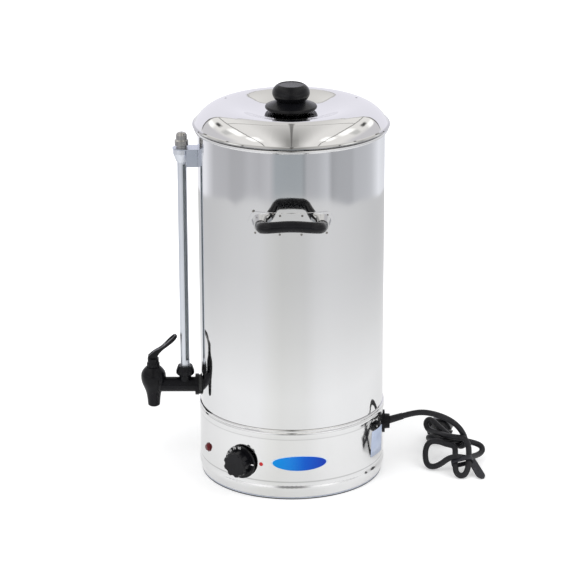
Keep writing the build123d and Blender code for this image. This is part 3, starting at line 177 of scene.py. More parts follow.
def addWear(tree, scale, detail, low, high):
    return addRange(tree, addNoise(tree, scale, detail), *noiseSpread, low, high)


def addBump(tree, shader, layers):
    normal = None
    for height, distance, strength in layers:
        bump = addNode(tree, "ShaderNodeBump")
        bump.inputs["Distance"].default_value = distance
        bump.inputs["Strength"].default_value = strength
        tree.links.new(height, bump.inputs["Height"])
        if normal:
            tree.links.new(normal, bump.inputs["Normal"])
        normal = bump.outputs["Normal"]
    tree.links.new(normal, shader.inputs["Normal"])


def addPlace(tree, kind="Object"):
    # where a point lies: the whole vector, and its X, Y and Z
    place = addNode(tree, "ShaderNodeTexCoord")
    split = addNode(tree, "ShaderNodeSeparateXYZ")
    tree.links.new(place.outputs[kind], split.inputs[0])
    return place.outputs[kind], split.outputs


# colour of the painted shade in seams and creases
paintedShadeTone = (0.05, 0.048, 0.045)


def addPaintedShade(tree, color, paintedShade):
    # painted shade: a dark band between two heights of the piece, where a seam or crease lies in shadow
    parts = addPlace(tree)[1]
    for low, high, soft, share in paintedShade:
        rising = addRange(tree, parts["Z"], low - soft, low + soft, 0, share)
        falling = addRange(tree, parts["Z"], high - soft, high + soft, 1, 0)
        color = addMix(tree, addMath(tree, "MULTIPLY", rising, falling), color, paintedShadeTone)
    return color


def addInside(tree, inner):
    # one inside the tank, nought on its outer side and its rim
    parts = addPlace(tree)[1]
    square = addMath(tree, "MULTIPLY", parts["X"], parts["X"])
    square = addMath(tree, "MULTIPLY_ADD", parts["Y"], parts["Y"], square)
    near = addMath(tree, "LESS_THAN", addMath(tree, "SQRT", square), inner["radius"])
    below = addMath(tree, "LESS_THAN", parts["Z"], inner["top"])
    return addMath(tree, "MULTIPLY", near, below)


def finishMaterial(name, look):
    material, tree, shader = startMaterial(name)
    tone = addTone(tree, look["toneScale"], 4, look["dark"], look["light"], look.get("stretch", even))
    # the colour gets its painted shade bands
    tree.links.new(addPaintedShade(tree, tone, look.get("paintedShade", [])), shader.inputs["Base Color"])
    rough = addWear(tree, look["wearScale"], 5, *look["rough"])
    shader.inputs["Metallic"].default_value = look.get("metal", 0.0)
    if "inside" in look:
        # the inner side is satin: rougher and duller than the polished outer one
        inside = addInside(tree, look["inside"])
        metal = addRange(tree, inside, 0, 1, look["metal"], look["inside"]["metal"])
        tree.links.new(metal, shader.inputs["Metallic"])
        rough = addMath(tree, "MULTIPLY_ADD", inside, look["inside"]["rough"], rough)
    tree.links.new(rough, shader.inputs["Roughness"])
    for key in ("Coat Weight", "Specular IOR Level"):
        if key in look:
            shader.inputs[key].default_value = look[key]
    layers = []
    for scale, distance, strength, stretch in look["bumps"]:
        layers.append((addNoise(tree, scale, 4, stretch), distance, strength))
    addBump(tree, shader, layers)
    return material


# A finish has a colour between dark and light, the noise scales of its colour and its wear,
# a range of roughness, and bumps with scale, height, strength and stretch.
# Its painted shade has a lower and an upper height, the softness of their edges and the share of dark.
finishes = {
    "mirrorSteel": {
        "dark": (0.755, 0.757, 0.765), "light": (0.785, 0.787, 0.79), "metal": 1.0,
        "toneScale": 9, "stretch": upright, "wearScale": 14, "rough": (0.035, 0.07),
        "bumps": [(7, 0.0012, 0.05, upright), (420, 0.00002, 0.25, (1, 1, 0.05))],
        # painted shade in the gap under the lid's rim and where the tank meets the skirt's top
        "paintedShade": [(0.5070, 0.5090, 0.0003, 0.85), (0.1040, 0.1056, 0.0003, 0.5)],
        "inside": {"radius": 0.1297, "top": 0.5055, "rough": 0.38, "metal": 0.45},
    },
    "skirtSteel": {
        "dark": (0.765, 0.765, 0.765), "light": (0.795, 0.795, 0.795), "metal": 1.0,
        "toneScale": 9, "wearScale": 20, "rough": (0.05, 0.1),
        "bumps": [(9, 0.0012, 0.05, even), (500, 0.00002, 0.3, around)],
        # painted shade in the creases at the lower step and under the top bead
        "paintedShade": [(0.0262, 0.0278, 0.0006, 0.35), (0.0898, 0.0910, 0.0006, 0.25)],
    },
    "lidSteel": {
        "dark": (0.77, 0.768, 0.775), "light": (0.80, 0.798, 0.80), "metal": 1.0,
        "toneScale": 6, "wearScale": 16, "rough": (0.025, 0.055),
        "bumps": [(6, 0.0008, 0.04, even), (300, 0.00002, 0.2, even)],
        # painted shadow in the gap along the lid rim's lower edge
        "paintedShade": [(0.5000, 0.5094, 0.0003, 0.85), (0.5094, 0.5122, 0.0004, 0.35)],
    },
    "guardSteel": {
        "dark": (0.74, 0.77, 0.83), "light": (0.80, 0.83, 0.89), "metal": 1.0,
        "toneScale": 20, "wearScale": 30, "rough": (0.34, 0.44),
        "bumps": [(600, 0.00003, 0.4, (1, 1, 0.04))],
    },
    "plateSteel": {
        "dark": (0.53, 0.57, 0.66), "light": (0.62, 0.66, 0.75), "metal": 1.0,
        "toneScale": 14, "wearScale": 40, "rough": (0.22, 0.36),
        "bumps": [(900, 0.00004, 0.4, (1, 0.05, 1))],
    },
    "turnedSteel": {
        "dark": (0.58, 0.58, 0.59), "light": (0.72, 0.72, 0.73), "metal": 1.0,
        "toneScale": 60, "wearScale": 90, "rough": (0.14, 0.28),
        "bumps": [(1400, 0.00003, 0.5, (1, 1, 8))],
    },
    "nickel": {
        "dark": (0.38, 0.37, 0.36), "light": (0.50, 0.49, 0.475), "metal": 1.0,
        "toneScale": 50, "wearScale": 80, "rough": (0.14, 0.26),
        "bumps": [(900, 0.00003, 0.4, (1, 1, 6))],
    },
    "heatedSteel": {
        "dark": (0.30, 0.27, 0.24), "light": (0.48, 0.45, 0.42), "metal": 1.0,
        "toneScale": 25, "wearScale": 60, "rough": (0.25, 0.45),
        "bumps": [(700, 0.00004, 0.5, even)],
    },
    "blackPlastic": {
        "dark": (0.003, 0.003, 0.004), "light": (0.006, 0.006, 0.008), "Specular IOR Level": 0.18,
        "toneScale": 40, "wearScale": 60, "rough": (0.18, 0.28),
        "bumps": [(900, 0.00006, 0.35, even), (60, 0.0002, 0.15, even)],
    },
    "knobPlastic": {
        "dark": (0.003, 0.003, 0.004), "light": (0.007, 0.007, 0.009), "Specular IOR Level": 0.24,
        "toneScale": 40, "wearScale": 60, "rough": (0.20, 0.30),
        "bumps": [(1200, 0.00008, 0.4, even)],
    },
    "darkHousing": {
        "dark": (0.03, 0.03, 0.03), "light": (0.07, 0.07, 0.07),
        "toneScale": 50, "wearScale": 70, "rough": (0.45, 0.6),
        "bumps": [(900, 0.0001, 0.5, even)],
    },
    "whiteBlock": {
        "dark": (0.68, 0.67, 0.63), "light": (0.80, 0.79, 0.76),
        "toneScale": 60, "wearScale": 60, "rough": (0.4, 0.55),
        "bumps": [(700, 0.0001, 0.4, even)],
    },
    "redLens": {
        "dark": (0.09, 0.002, 0.005), "light": (0.15, 0.004, 0.008), "Specular IOR Level": 0.35,
        "toneScale": 120, "wearScale": 90, "rough": (0.12, 0.2),
        "bumps": [(500, 0.0001, 0.2, even)],
    },
    "redButton": {
        "dark": (0.52, 0.010, 0.012), "light": (0.64, 0.018, 0.02),
        "toneScale": 120, "wearScale": 90, "rough": (0.3, 0.45),
        "bumps": [(900, 0.0001, 0.3, even)],
    },
    "sealRubber": {
        "dark": (0.60, 0.59, 0.55), "light": (0.72, 0.71, 0.67),
        "toneScale": 90, "wearScale": 90, "rough": (0.5, 0.65),
        "bumps": [(800, 0.0001, 0.4, even)],
    },
    "footRubber": {
        "dark": (0.018, 0.018, 0.018), "light": (0.04, 0.04, 0.04),
        "toneScale": 60, "wearScale": 90, "rough": (0.6, 0.8),
        "bumps": [(900, 0.0002, 0.5, even)],
    },
    "strapBand": {
        "dark": (0.014, 0.014, 0.018), "light": (0.032, 0.032, 0.040), "Specular IOR Level": 0.35,
        "toneScale": 220, "wearScale": 120, "rough": (0.45, 0.6),
        "bumps": [(1600, 0.0002, 0.6, (1, 1, 0.3))],
    },
    "leadRubber": {
        "dark": (0.007, 0.007, 0.009), "light": (0.016, 0.016, 0.019), "Specular IOR Level": 0.3,
        "toneScale": 70, "wearScale": 90, "rough": (0.36, 0.5),
        "bumps": [(1200, 0.0001, 0.35, even)],
    },
}
surfaces = {name: finishMaterial(name, look) for name, look in finishes.items()}

glass = {
    "tint": ((0.88, 0.92, 0.93), (0.95, 0.97, 0.98)), "tintScale": 12,
    "sheen": (0.80, 0.84, 0.87), "rough": (0.03, 0.09), "wearScale": 30,
    "ripple": (20, 0.0001, 0.1),  # scale, height, strength
    "facing": 0.35, "gloss": (0.08, 0.7),  # share of the sheen, face on and at the edges
}


def glassMaterial():
    material, tree, shader = startMaterial("gaugeGlass")
    clear = addNode(tree, "ShaderNodeBsdfTransparent")
    tree.links.new(addTone(tree, glass["tintScale"], 3, *glass["tint"]), clear.inputs["Color"])
    shader.inputs["Base Color"].default_value = (*glass["sheen"], 1)
    tree.links.new(addWear(tree, glass["wearScale"], 3, *glass["rough"]), shader.inputs["Roughness"])
    scale, distance, strength = glass["ripple"]
    addBump(tree, shader, [(addNoise(tree, scale), distance, strength)])
    edge = addNode(tree, "ShaderNodeLayerWeight")
    edge.inputs["Blend"].default_value = glass["facing"]
    mix = addNode(tree, "ShaderNodeMixShader")
    tree.links.new(addRange(tree, edge.outputs["Facing"], 0, 1, *glass["gloss"]), mix.inputs["Fac"])
    tree.links.new(clear.outputs[0], mix.inputs[1])
    tree.links.new(shader.outputs[0], mix.inputs[2])
    tree.links.new(mix.outputs[0], tree.nodes["Material Output"].inputs["Surface"])
    return material


surfaces["gaugeGlass"] = glassMaterial()

finishOf = {
    "mirrorSteel": ["tank", "front_handle_plate", "rear_handle_plate"],
    "skirtSteel": ["base_skirt"],
    "lidSteel": ["lid"],
    "guardSteel": ["gauge_guard", "gauge_ferrule"],
    "plateSteel": ["base_plate", "gauge_bracket"],
    "turnedSteel": [
        "floor_studs", "stud_nuts", "knob_washer", "knob_screw", "bracket_rivets",
        "thermostat_screws", "earth_stud", "earth_nut", "terminal_screws", "element_terminals",
        "thermostat_spindle", "pilot_lamp_clip", "tap_spring", "valve_stem",
    ],
    "nickel": ["gauge_cap", "element_bushings", "element_nuts", "shank_nut", "plug_pins"],
    "heatedSteel": ["heating_element"],
    "blackPlastic": [
        "tap_body", "tap_bonnet", "tap_lever", "lever_pin", "tap_shank", "gauge_nut",
        "cord_gland", "gland_nut",
    ],
    "knobPlastic": [
        "lid_knob", "front_handle_grip", "rear_handle_grip", "thermostat_knob", "mains_plug",
    ],
    "darkHousing": ["thermostat_body", "thermal_cutout", "pilot_lamp_body"],
    "whiteBlock": ["terminal_block"],
    "redLens": ["pilot_lamp_lens"],
    "redButton": ["reset_button"],
    "sealRubber": [
        "gauge_seal", "gauge_top_seal", "shank_inner_gasket", "element_gaskets", "valve_cup",
    ],
    "footRubber": ["foot_ring", "shank_outer_gasket"],
    "gaugeGlass": ["gauge_glass"],
    "leadRubber": ["cord_tube", "cord_hank", "strain_relief", "cord_tie"],
}
for finish, members in finishOf.items():
    for member in members:
        mesh = nodes[member].data
        mesh.materials.clear()
        mesh.materials.append(surfaces[finish])
print("finishes given to", sum(len(members) for members in finishOf.values()), "nodes")


def addMesh(name, points, faces, *materials, smooth=True):
    mesh = bpy.data.meshes.new(name)
    mesh.from_pydata([tuple(point) for point in points], [], faces)
    mesh.validate()
    mesh.update()
    for material in materials:
        mesh.materials.append(material)
    for polygon in mesh.polygons:
        polygon.use_smooth = smooth
    return addObject(name, mesh)


def onWall(turn, along, height, radius):
    # a point on a round wall, a length along it from a turn
    angle = math.radians(turn) + along / radius
    return Vector((radius * math.sin(angle), -radius * math.cos(angle), height))


def joinRings(faces, first, second, count):
    # faces between two rings of points, each given by the number of its first point
    for step in range(count):
        after = (step + 1) % count
        faces.append((first + step, second + step, second + after, first + after))


def addDisc(points, faces, disc, rings):
    # an oval on the wall: its middle, then rings with a share of its size and a lift off the wall
    middle, steps = len(points), disc["steps"]
    along, height, wall = disc.get("along", 0), disc["height"], disc["wall"]
    points.append(onWall(disc["turn"], along, height, wall + rings[0][1]))
    for share, lift in rings[1:]:
        for step in range(steps):
            angle = 2 * math.pi * step / steps
            across = disc["long"] * share * math.cos(angle)
            up = disc["tall"] * share * math.sin(angle)
            points.append(onWall(disc["turn"], along + across, height + up, wall + lift))
    for step in range(steps):
        faces.append((middle, middle + 1 + step, middle + 1 + (step + 1) % steps))
    for start in range(middle + 1, len(points) - steps, steps):
        joinRings(faces, start, start + steps, steps)


# The camera and the cord come before all other pieces.
lead = {
    "diameter": 0.0084, "length": 0.7296, "exit": (0.159574, 0.0, 0.074162),
    "roundness": 6, "steps": 10, "order": 3,
    "points": [  # from the gland in a bow down to the hank, round its loops and to the plug
        (0.1763, 0.0, 0.0793), (0.1962, 0.0, 0.0795), (0.2228, 0.0003, 0.0706),
        (0.2404, 0.0009, 0.0568), (0.2499, 0.0026, 0.0394), (0.2495, 0.0015, 0.0279),
        (0.2413, 0.0103, 0.0215), (0.2274, 0.0209, 0.0353), (0.2124, 0.0360, 0.0444),
        (0.2034, 0.0475, 0.0496), (0.1977, 0.0517, 0.0471), (0.1954, 0.0520, 0.0403),
        (0.1993, 0.0474, 0.0330), (0.2082, 0.0327, 0.0355), (0.2225, 0.0077, 0.0400),
        (0.2372, -0.0026, 0.0417), (0.2491, -0.0085, 0.0429), (0.2535, -0.0143, 0.0342),
        (0.2536, -0.0266, 0.0273), (0.2521, -0.0455, 0.0169), (0.2483, -0.0531, 0.0070),
        (0.2430, -0.0553, 0.0041), (0.2379, -0.0548, 0.0045), (0.2337, -0.0517, 0.0082),
        (0.2329, -0.0426, 0.0153), (0.2343, -0.0220, 0.0206), (0.2348, -0.0100, 0.0314),
        (0.2240, -0.0020, 0.0303), (0.2100, 0.0050, 0.0331), (0.1987, 0.0060, 0.0316),
        (0.1928, 0.0, 0.0240), (0.1920, -0.0100, 0.0126), (0.1947, -0.0200, 0.0057),
        (0.2025, -0.0260, 0.0054), (0.2127, -0.0260, 0.0093), (0.2242, -0.0344, 0.0230),
        (0.2361, -0.0383, 0.0269), (0.2503, -0.0245, 0.0184), (0.2633, -0.0042, 0.0133),
        (0.2721, 0.0083, 0.0115), (0.2763, 0.0137, 0.0150), (0.2750, 0.0183, 0.0191),
        (0.2686, 0.0216, 0.0218), (0.2564, 0.0186, 0.0265), (0.2411, 0.0071, 0.0341),
        (0.2204, 0.0093, 0.0300), (0.2079, 0.0154, 0.0333), (0.2010, 0.0210, 0.0335),
        (0.1980, 0.0285, 0.0290), (0.2008, 0.0360, 0.0230), (0.2066, 0.0408, 0.0189),
        (0.2086, 0.0485, 0.0188),
    ],
}


def leadPiece():
    curve = bpy.data.curves.new("mains_lead", "CURVE")
    curve.dimensions = "3D"
    curve.bevel_depth = lead["diameter"] / 2
    curve.bevel_resolution = lead["roundness"]
    curve.resolution_u = lead["steps"]
    curve.use_fill_caps = True
    places = [lead["exit"]] + lead["points"]
    spline = curve.splines.new("NURBS")
    spline.points.add(len(places) - 1)
    for point, place in zip(spline.points, places):
        point.co = (*place, 1)
    spline.order_u = lead["order"]
    spline.use_endpoint_u = True
    curve.materials.append(surfaces["leadRubber"])
    piece = addObject("mains_lead", curve)
    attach(piece, "urn")
    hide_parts("cord_tube", "cord_hank")
    print("lead laid")
    return piece


mainsLead = leadPiece()

# The strap is a band round two strands at the front of the hank, with a loose tail.
tie = {
    "strands": ((0.2527, -0.0380, 0.0212), (0.2335, -0.0380, 0.0165)), "way": (-0.07, -0.92, -0.365),
    "inner": 0.00445, "thick": 0.0014, "width": 0.0085, "bandSteps": 14,
    "edge": 0.0003, "edgeSteps": 2,
    "tail": ((0.2572, -0.0330, 0.0190), (0.2640, -0.0400, 0.0080), (0.2712, -0.0600, 0.0022)),
    "tailWidth": 0.0135, "tailSteps": 20,
    "roundFrom": 0.8, "tip": 0.3,  # the tail narrows from this part of its length, to this share
}


def tieBand(points, faces):
    right, left = (Vector(strand) for strand in tie["strands"])
    across = (right - left).normalized()
    way = Vector(tie["way"]).normalized()
    way = (way - across * way.dot(across)).normalized()
    up = way.cross(across)
    loop = []
    for middle, start in ((right, -90), (left, 90)):
        for step in range(tie["bandSteps"] + 1):
            angle = math.radians(start + 180 * step / tie["bandSteps"])
            loop.append((middle, across * math.cos(angle) + up * math.sin(angle)))
    for middle, outward in loop:
        for reach, half in ((0, -1), (0, 1), (tie["thick"], 1), (tie["thick"], -1)):
            points.append(middle + outward * (tie["inner"] + reach) + way * half * tie["width"] / 2)
    for index in range(len(loop)):
        joinRings(faces, 4 * index, 4 * ((index + 1) % len(loop)), 4)


def tieTail(points, faces):
    first, middle, last = (Vector(place) for place in tie["tail"])
    base, steps = len(points), tie["tailSteps"]
    for step in range(steps + 1):
        t = step / steps
        rounding = max(0.0, (t - tie["roundFrom"]) / (1 - tie["roundFrom"]))
        width = tie["tailWidth"] * max(tie["tip"], math.sqrt(1 - rounding**2))
        place = first * (1 - t) ** 2 + middle * 2 * t * (1 - t) + last * t**2
        way = ((middle - first) * (1 - t) + (last - middle) * t).normalized()
        side = way.cross(Vector((0, 0, 1))).normalized() * width / 2
        up = side.cross(way).normalized() * tie["thick"] / 2
        for offset in (side + up, -side + up, -side - up, side - up):
            points.append(place + offset)
    for step in range(steps):
        joinRings(faces, base + 4 * step, base + 4 * (step + 1), 4)
    end = base + 4 * steps
    faces.append((base + 3, base + 2, base + 1, base))
    faces.append((end, end + 1, end + 2, end + 3))


def strapPiece():
    points, faces = [], []
    tieBand(points, faces)
    tieTail(points, faces)
    piece = addMesh("cord_strap", points, faces, surfaces["strapBand"], smooth=False)
    rounded = piece.modifiers.new("edges", "BEVEL")
    rounded.width = tie["edge"]
    rounded.segments = tie["edgeSteps"]
    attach(piece, "urn")
    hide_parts("cord_tie")
    print("strap tied")
    return piece


tieStrap = strapPiece()

# The valve's spring has closed ends and is built at the part's length, though in use it gets shorter as
# the valve opens.
spring = {
    "turns": 6.0, "closed": 0.9,  # open turns, and closed turns at each end
    "wire": 0.0005,  # radius
    "endRise": 2.1,  # what a closed end rises, in radii of the wire
    "stepsPerTurn": 28, "sides": 10, "travel": 0.003,
}


def springHeight(turn, low, high):
    # the end turns lie almost flat, the ones between rise evenly
    flat = spring["wire"] * spring["endRise"]
    if turn < spring["closed"]:
        return low + flat * turn / spring["closed"]
    if turn > spring["turns"] + spring["closed"]:
        return high - flat * (spring["turns"] + 2 * spring["closed"] - turn) / spring["closed"]
    return low + flat + (high - low - 2 * flat) * (turn - spring["closed"]) / spring["turns"]


def springPiece():
    lowCorner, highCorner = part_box("tap_spring")
    low, high = lowCorner.z, highCorner.z
    middle = (lowCorner.x + highCorner.x) / 2
    radius = (highCorner.x - lowCorner.x) / 2 - spring["wire"]
    count = int((spring["turns"] + 2 * spring["closed"]) * spring["stepsPerTurn"])
    path = []
    for step in range(count + 1):
        turn = step / spring["stepsPerTurn"]
        angle = 2 * math.pi * turn
        height = springHeight(turn, low + spring["wire"], high - spring["wire"])
        path.append(Vector((middle + radius * math.cos(angle), radius * math.sin(angle), height)))
    points, faces, sides = [], [], spring["sides"]
    for step, place in enumerate(path):
        way = (path[min(step + 1, count)] - path[max(step - 1, 0)]).normalized()
        outward = Vector((place.x - middle, place.y, 0)).normalized()
        up = way.cross(outward).normalized()
        for side in range(sides):
            angle = 2 * math.pi * side / sides
            points.append(place + (outward * math.cos(angle) + up * math.sin(angle)) * spring["wire"])
    for start in range(0, count * sides, sides):
        for side in range(sides):
            other = (side + 1) % sides
            faces.append((start + side, start + other, start + sides + other, start + sides + side))
    faces.append(tuple(reversed(range(sides))))
    faces.append(tuple(count * sides + side for side in range(sides)))
    piece = addMesh("valve_spring", points, faces, surfaces["turnedSteel"])
    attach(piece, "urn")
    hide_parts("tap_spring")
    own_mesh(piece)


springPiece()

# The badge and the label on the skirt are blank.
badge = {
    "turn": 4.7, "height": 0.05525, "wall": urn["skirt"], "long": 0.040, "tall": 0.01125, "steps": 72,
    "thick": 0.0007, "dome": 0.0006, "gap": 0.00004,
    "face": (0.0, 0.25, 0.5, 0.7, 0.84, 0.93),  # shares of the oval
    "rim": [  # share of the oval, share of the thickness, number of the material
        (0.955, 0.95, 0), (0.96, 0.9, 1), (0.985, 0.85, 1), (1.0, 0.5, 1),
    ],
    "back": (1.0, 0.75, 0.5, 0.25, 0.0),
    "blueFrom": -0.03, "blueTo": 0.05,  # X between which the blue darkens
    "blues": [
        (0.0, (0.0, 0.29, 0.78)), (0.35, (0.012, 0.22, 0.72)),
        (0.6, (0.006, 0.11, 0.60)), (1.0, (0.012, 0.045, 0.46)),
    ],
    "rough": (0.18, 0.28), "wearScale": 90, "specular": 0.14,
    "grain": (300, 0.0001, 0.15),  # scale, height, strength
}


def badgeMaterial():
    material, tree, shader = startMaterial("badgeBlue")
    across = addRange(tree, addPlace(tree)[1]["X"], badge["blueFrom"], badge["blueTo"])
    tree.links.new(addRamp(tree, across, badge["blues"]), shader.inputs["Base Color"])
    tree.links.new(addWear(tree, badge["wearScale"], 3, *badge["rough"]), shader.inputs["Roughness"])
    shader.inputs["Specular IOR Level"].default_value = badge["specular"]
    scale, distance, strength = badge["grain"]
    addBump(tree, shader, [(addNoise(tree, scale), distance, strength)])
    return material


surfaces["badgeBlue"] = badgeMaterial()
surfaces["badgeEdge"] = finishMaterial("badgeEdge", {
    "dark": (0.62, 0.76, 0.90), "light": (0.72, 0.84, 0.95), "Coat Weight": 0.4,
    "toneScale": 80, "wearScale": 80, "rough": (0.25, 0.4),
    "bumps": [(300, 0.0001, 0.2, even)],
})


def badgeRings():
    rings = []
    for share in badge["face"]:
        rings.append((share, badge["thick"] + badge["dome"] * (1 - share**2), 0))
    for share, part, owner in badge["rim"]:
        rings.append((share, badge["thick"] * part, owner))
    for share in badge["back"]:
        rings.append((share, badge["gap"], 1))
    return rings


def ovalPiece(name, shape, rings, *materials):
    # a ring: share of the oval, lift off the wall, number of the material; the last is the back's middle
    points, faces = [], []
    steps = shape["steps"]
    addDisc(points, faces, shape, [ring[:2] for ring in rings[:-1]])
    back = len(points) - steps
    points.append(onWall(shape["turn"], 0, shape["height"], shape["wall"] + rings[-1][1]))
    for step in range(steps):
        faces.append((back + steps, back + (step + 1) % steps, back + step))
    piece = addMesh(name, points, faces, *materials)
    for index, polygon in enumerate(piece.data.polygons):
        polygon.material_index = rings[1 + index // steps][2]
    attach(piece, "urn")


ovalPiece("blank_badge", badge, badgeRings(), surfaces["badgeBlue"], surfaces["badgeEdge"])

dot = {
    "turn": -19.2, "height": 0.0516, "wall": urn["skirt"], "long": 0.0029, "tall": 0.0029, "steps": 32,
    "rings": [
        (0.0, 0.0007, 0), (0.5, 0.00065, 0), (0.8, 0.0005, 0), (0.95, 0.0003, 0),
        (1.0, 0.00004, 0), (0.0, 0.00004, 0),
    ],
}
ovalPiece("index_dot", dot, dot["rings"], surfaces["redButton"])

label = {
    "turn": 68.3, "height": 0.0553, "wall": urn["skirt"], "halfLong": 0.0215, "halfTall": 0.0189,
    "slant": -5.2, "thick": 0.00015, "gap": 0.00005, "columns": 24, "rows": 3,
}
surfaces["labelFilm"] = finishMaterial("labelFilm", {
    "dark": (0.52, 0.60, 0.78), "light": (0.60, 0.68, 0.86),
    "toneScale": 60, "wearScale": 50, "rough": (0.3, 0.45),
    "bumps": [(250, 0.0001, 0.25, even)],
})


def labelPiece():
    slant, radius = math.radians(label["slant"]), label["wall"] + label["gap"]
    points, faces = [], []
    for row in range(label["rows"] + 1):
        for column in range(label["columns"] + 1):
            long = label["halfLong"] * (2 * column / label["columns"] - 1)
            tall = label["halfTall"] * (2 * row / label["rows"] - 1)
            across = long * math.cos(slant) - tall * math.sin(slant)
            up = long * math.sin(slant) + tall * math.cos(slant)
            points.append(onWall(label["turn"], across, label["height"] + up, radius))
    width = label["columns"] + 1
    for row in range(label["rows"]):
        for corner in range(row * width, row * width + label["columns"]):
            faces.append((corner, corner + 1, corner + width + 1, corner + width))
    piece = addMesh("blank_label", points, faces, surfaces["labelFilm"])
    film = piece.modifiers.new("film", "SOLIDIFY")
    film.thickness = label["thick"]
    film.offset = 1
    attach(piece, "urn")


labelPiece()
print("badge, dot and label made")

dial = {
    "numbers": [("30", 157), ("50", 137), ("70", 114), ("90", 91)],  # turn up from the face's right side
    "ring": 0.0212, "size": 0.0052, "lift": 0.00004, "thick": 0.00004,
    "pointerTurn": 2, "pointerFrom": 0.0190, "pointerTo": 0.0232, "pointerHalf": 0.0009,
    "pointerLow": 0.00002, "pointerHigh": 0.00025,
}
surfaces["dialWhite"] = finishMaterial("dialWhite", {
    "dark": (0.86, 0.86, 0.86), "light": (0.93, 0.93, 0.93),
    "toneScale": 200, "wearScale": 200, "rough": (0.4, 0.55),
    "bumps": [(900, 0.0001, 0.2, even)],
})
dialAngle = math.radians(urn["dialTurn"])
dialNormal = Vector((math.sin(dialAngle), -math.cos(dialAngle), 0))
dialRight = Vector((math.cos(dialAngle), math.sin(dialAngle), 0))
dialUp = Vector((0, 0, 1))


def onDial(turn, reach, lift):
    # the way out from the dial's middle at a turn, and the point that far along it
    angle = math.radians(turn)
    outward = dialRight * math.cos(angle) + dialUp * math.sin(angle)
    middle = dialNormal * (urn["dialFace"] + lift) + Vector((0, 0, urn["dialHeight"]))
    return outward, middle + outward * reach


def dialNumber(text, turn):
    outward, place = onDial(turn, dial["ring"], dial["lift"])
    curve = bpy.data.curves.new("dial_number_" + text, "FONT")
    curve.body = text
    curve.size = dial["size"]
    curve.align_x = "CENTER"
    curve.align_y = "CENTER"
    curve.extrude = dial["thick"]
    curve.materials.append(surfaces["dialWhite"])
    number = addObject("dial_number_" + text, curve)
    side = outward.cross(dialNormal)
    turned = Matrix((side, outward, dialNormal)).transposed().to_4x4()
    number.matrix_world = Matrix.Translation(place) @ turned
    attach(number, "thermostat_dial")


def dialPointer():
    outward, near = onDial(dial["pointerTurn"], dial["pointerFrom"], 0.0)
    far = near + outward * (dial["pointerTo"] - dial["pointerFrom"])
    across = outward.cross(dialNormal) * dial["pointerHalf"]
    points = []
    for lift in (dial["pointerLow"], dial["pointerHigh"]):
        for place, half in ((near, -1), (near, 1), (far, 1), (far, -1)):
            points.append(place + across * half + dialNormal * lift)
    faces = [(4, 5, 6, 7), (3, 2, 1, 0), (0, 1, 5, 4), (1, 2, 6, 5), (2, 3, 7, 6), (3, 0, 4, 7)]
    pointer = addMesh("dial_pointer", points, faces, surfaces["dialWhite"], smooth=False)
    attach(pointer, "thermostat_dial")


for text, turn in dial["numbers"]:
    dialNumber(text, turn)
dialPointer()
print("dial marked")

weld = {
    "places": [  # along the handle plate, and height
        (-0.0532, 0.4193), (-0.0252, 0.4181), (-0.0154, 0.4157), (0.0147, 0.4157), (0.0500, 0.4140),
        (-0.0502, 0.3894), (-0.0159, 0.3893), (0.0135, 0.3893), (0.0489, 0.3892),
    ],
    "radius": 0.0016, "steps": 20,
    "rings": [(0.0, 0.00006), (0.45, 0.00008), (0.72, 0.00026), (0.9, 0.00022), (1.0, 0.00002)],
}
surfaces["weldMark"] = finishMaterial("weldMark", {
    "dark": (0.16, 0.15, 0.14), "light": (0.36, 0.34, 0.32), "metal": 1.0,
    "toneScale": 700, "wearScale": 500, "rough": (0.3, 0.5),
    "bumps": [(1500, 0.0001, 0.4, even)],
})


def weldMarks(name, turn):
    points, faces = [], []
    for along, height in weld["places"]:
        disc = {
            "turn": turn, "along": along, "height": height, "wall": urn["handlePlate"],
            "long": weld["radius"], "tall": weld["radius"], "steps": weld["steps"],
        }
        addDisc(points, faces, disc, weld["rings"])
        faces.append(tuple(range(len(points) - 1, len(points) - 1 - weld["steps"], -1)))
    marks = addMesh(name, points, faces, surfaces["weldMark"])
    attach(marks, "urn")


weldMarks("front_weld_marks", 0)
weldMarks("rear_weld_marks", 180)
print("welds marked")

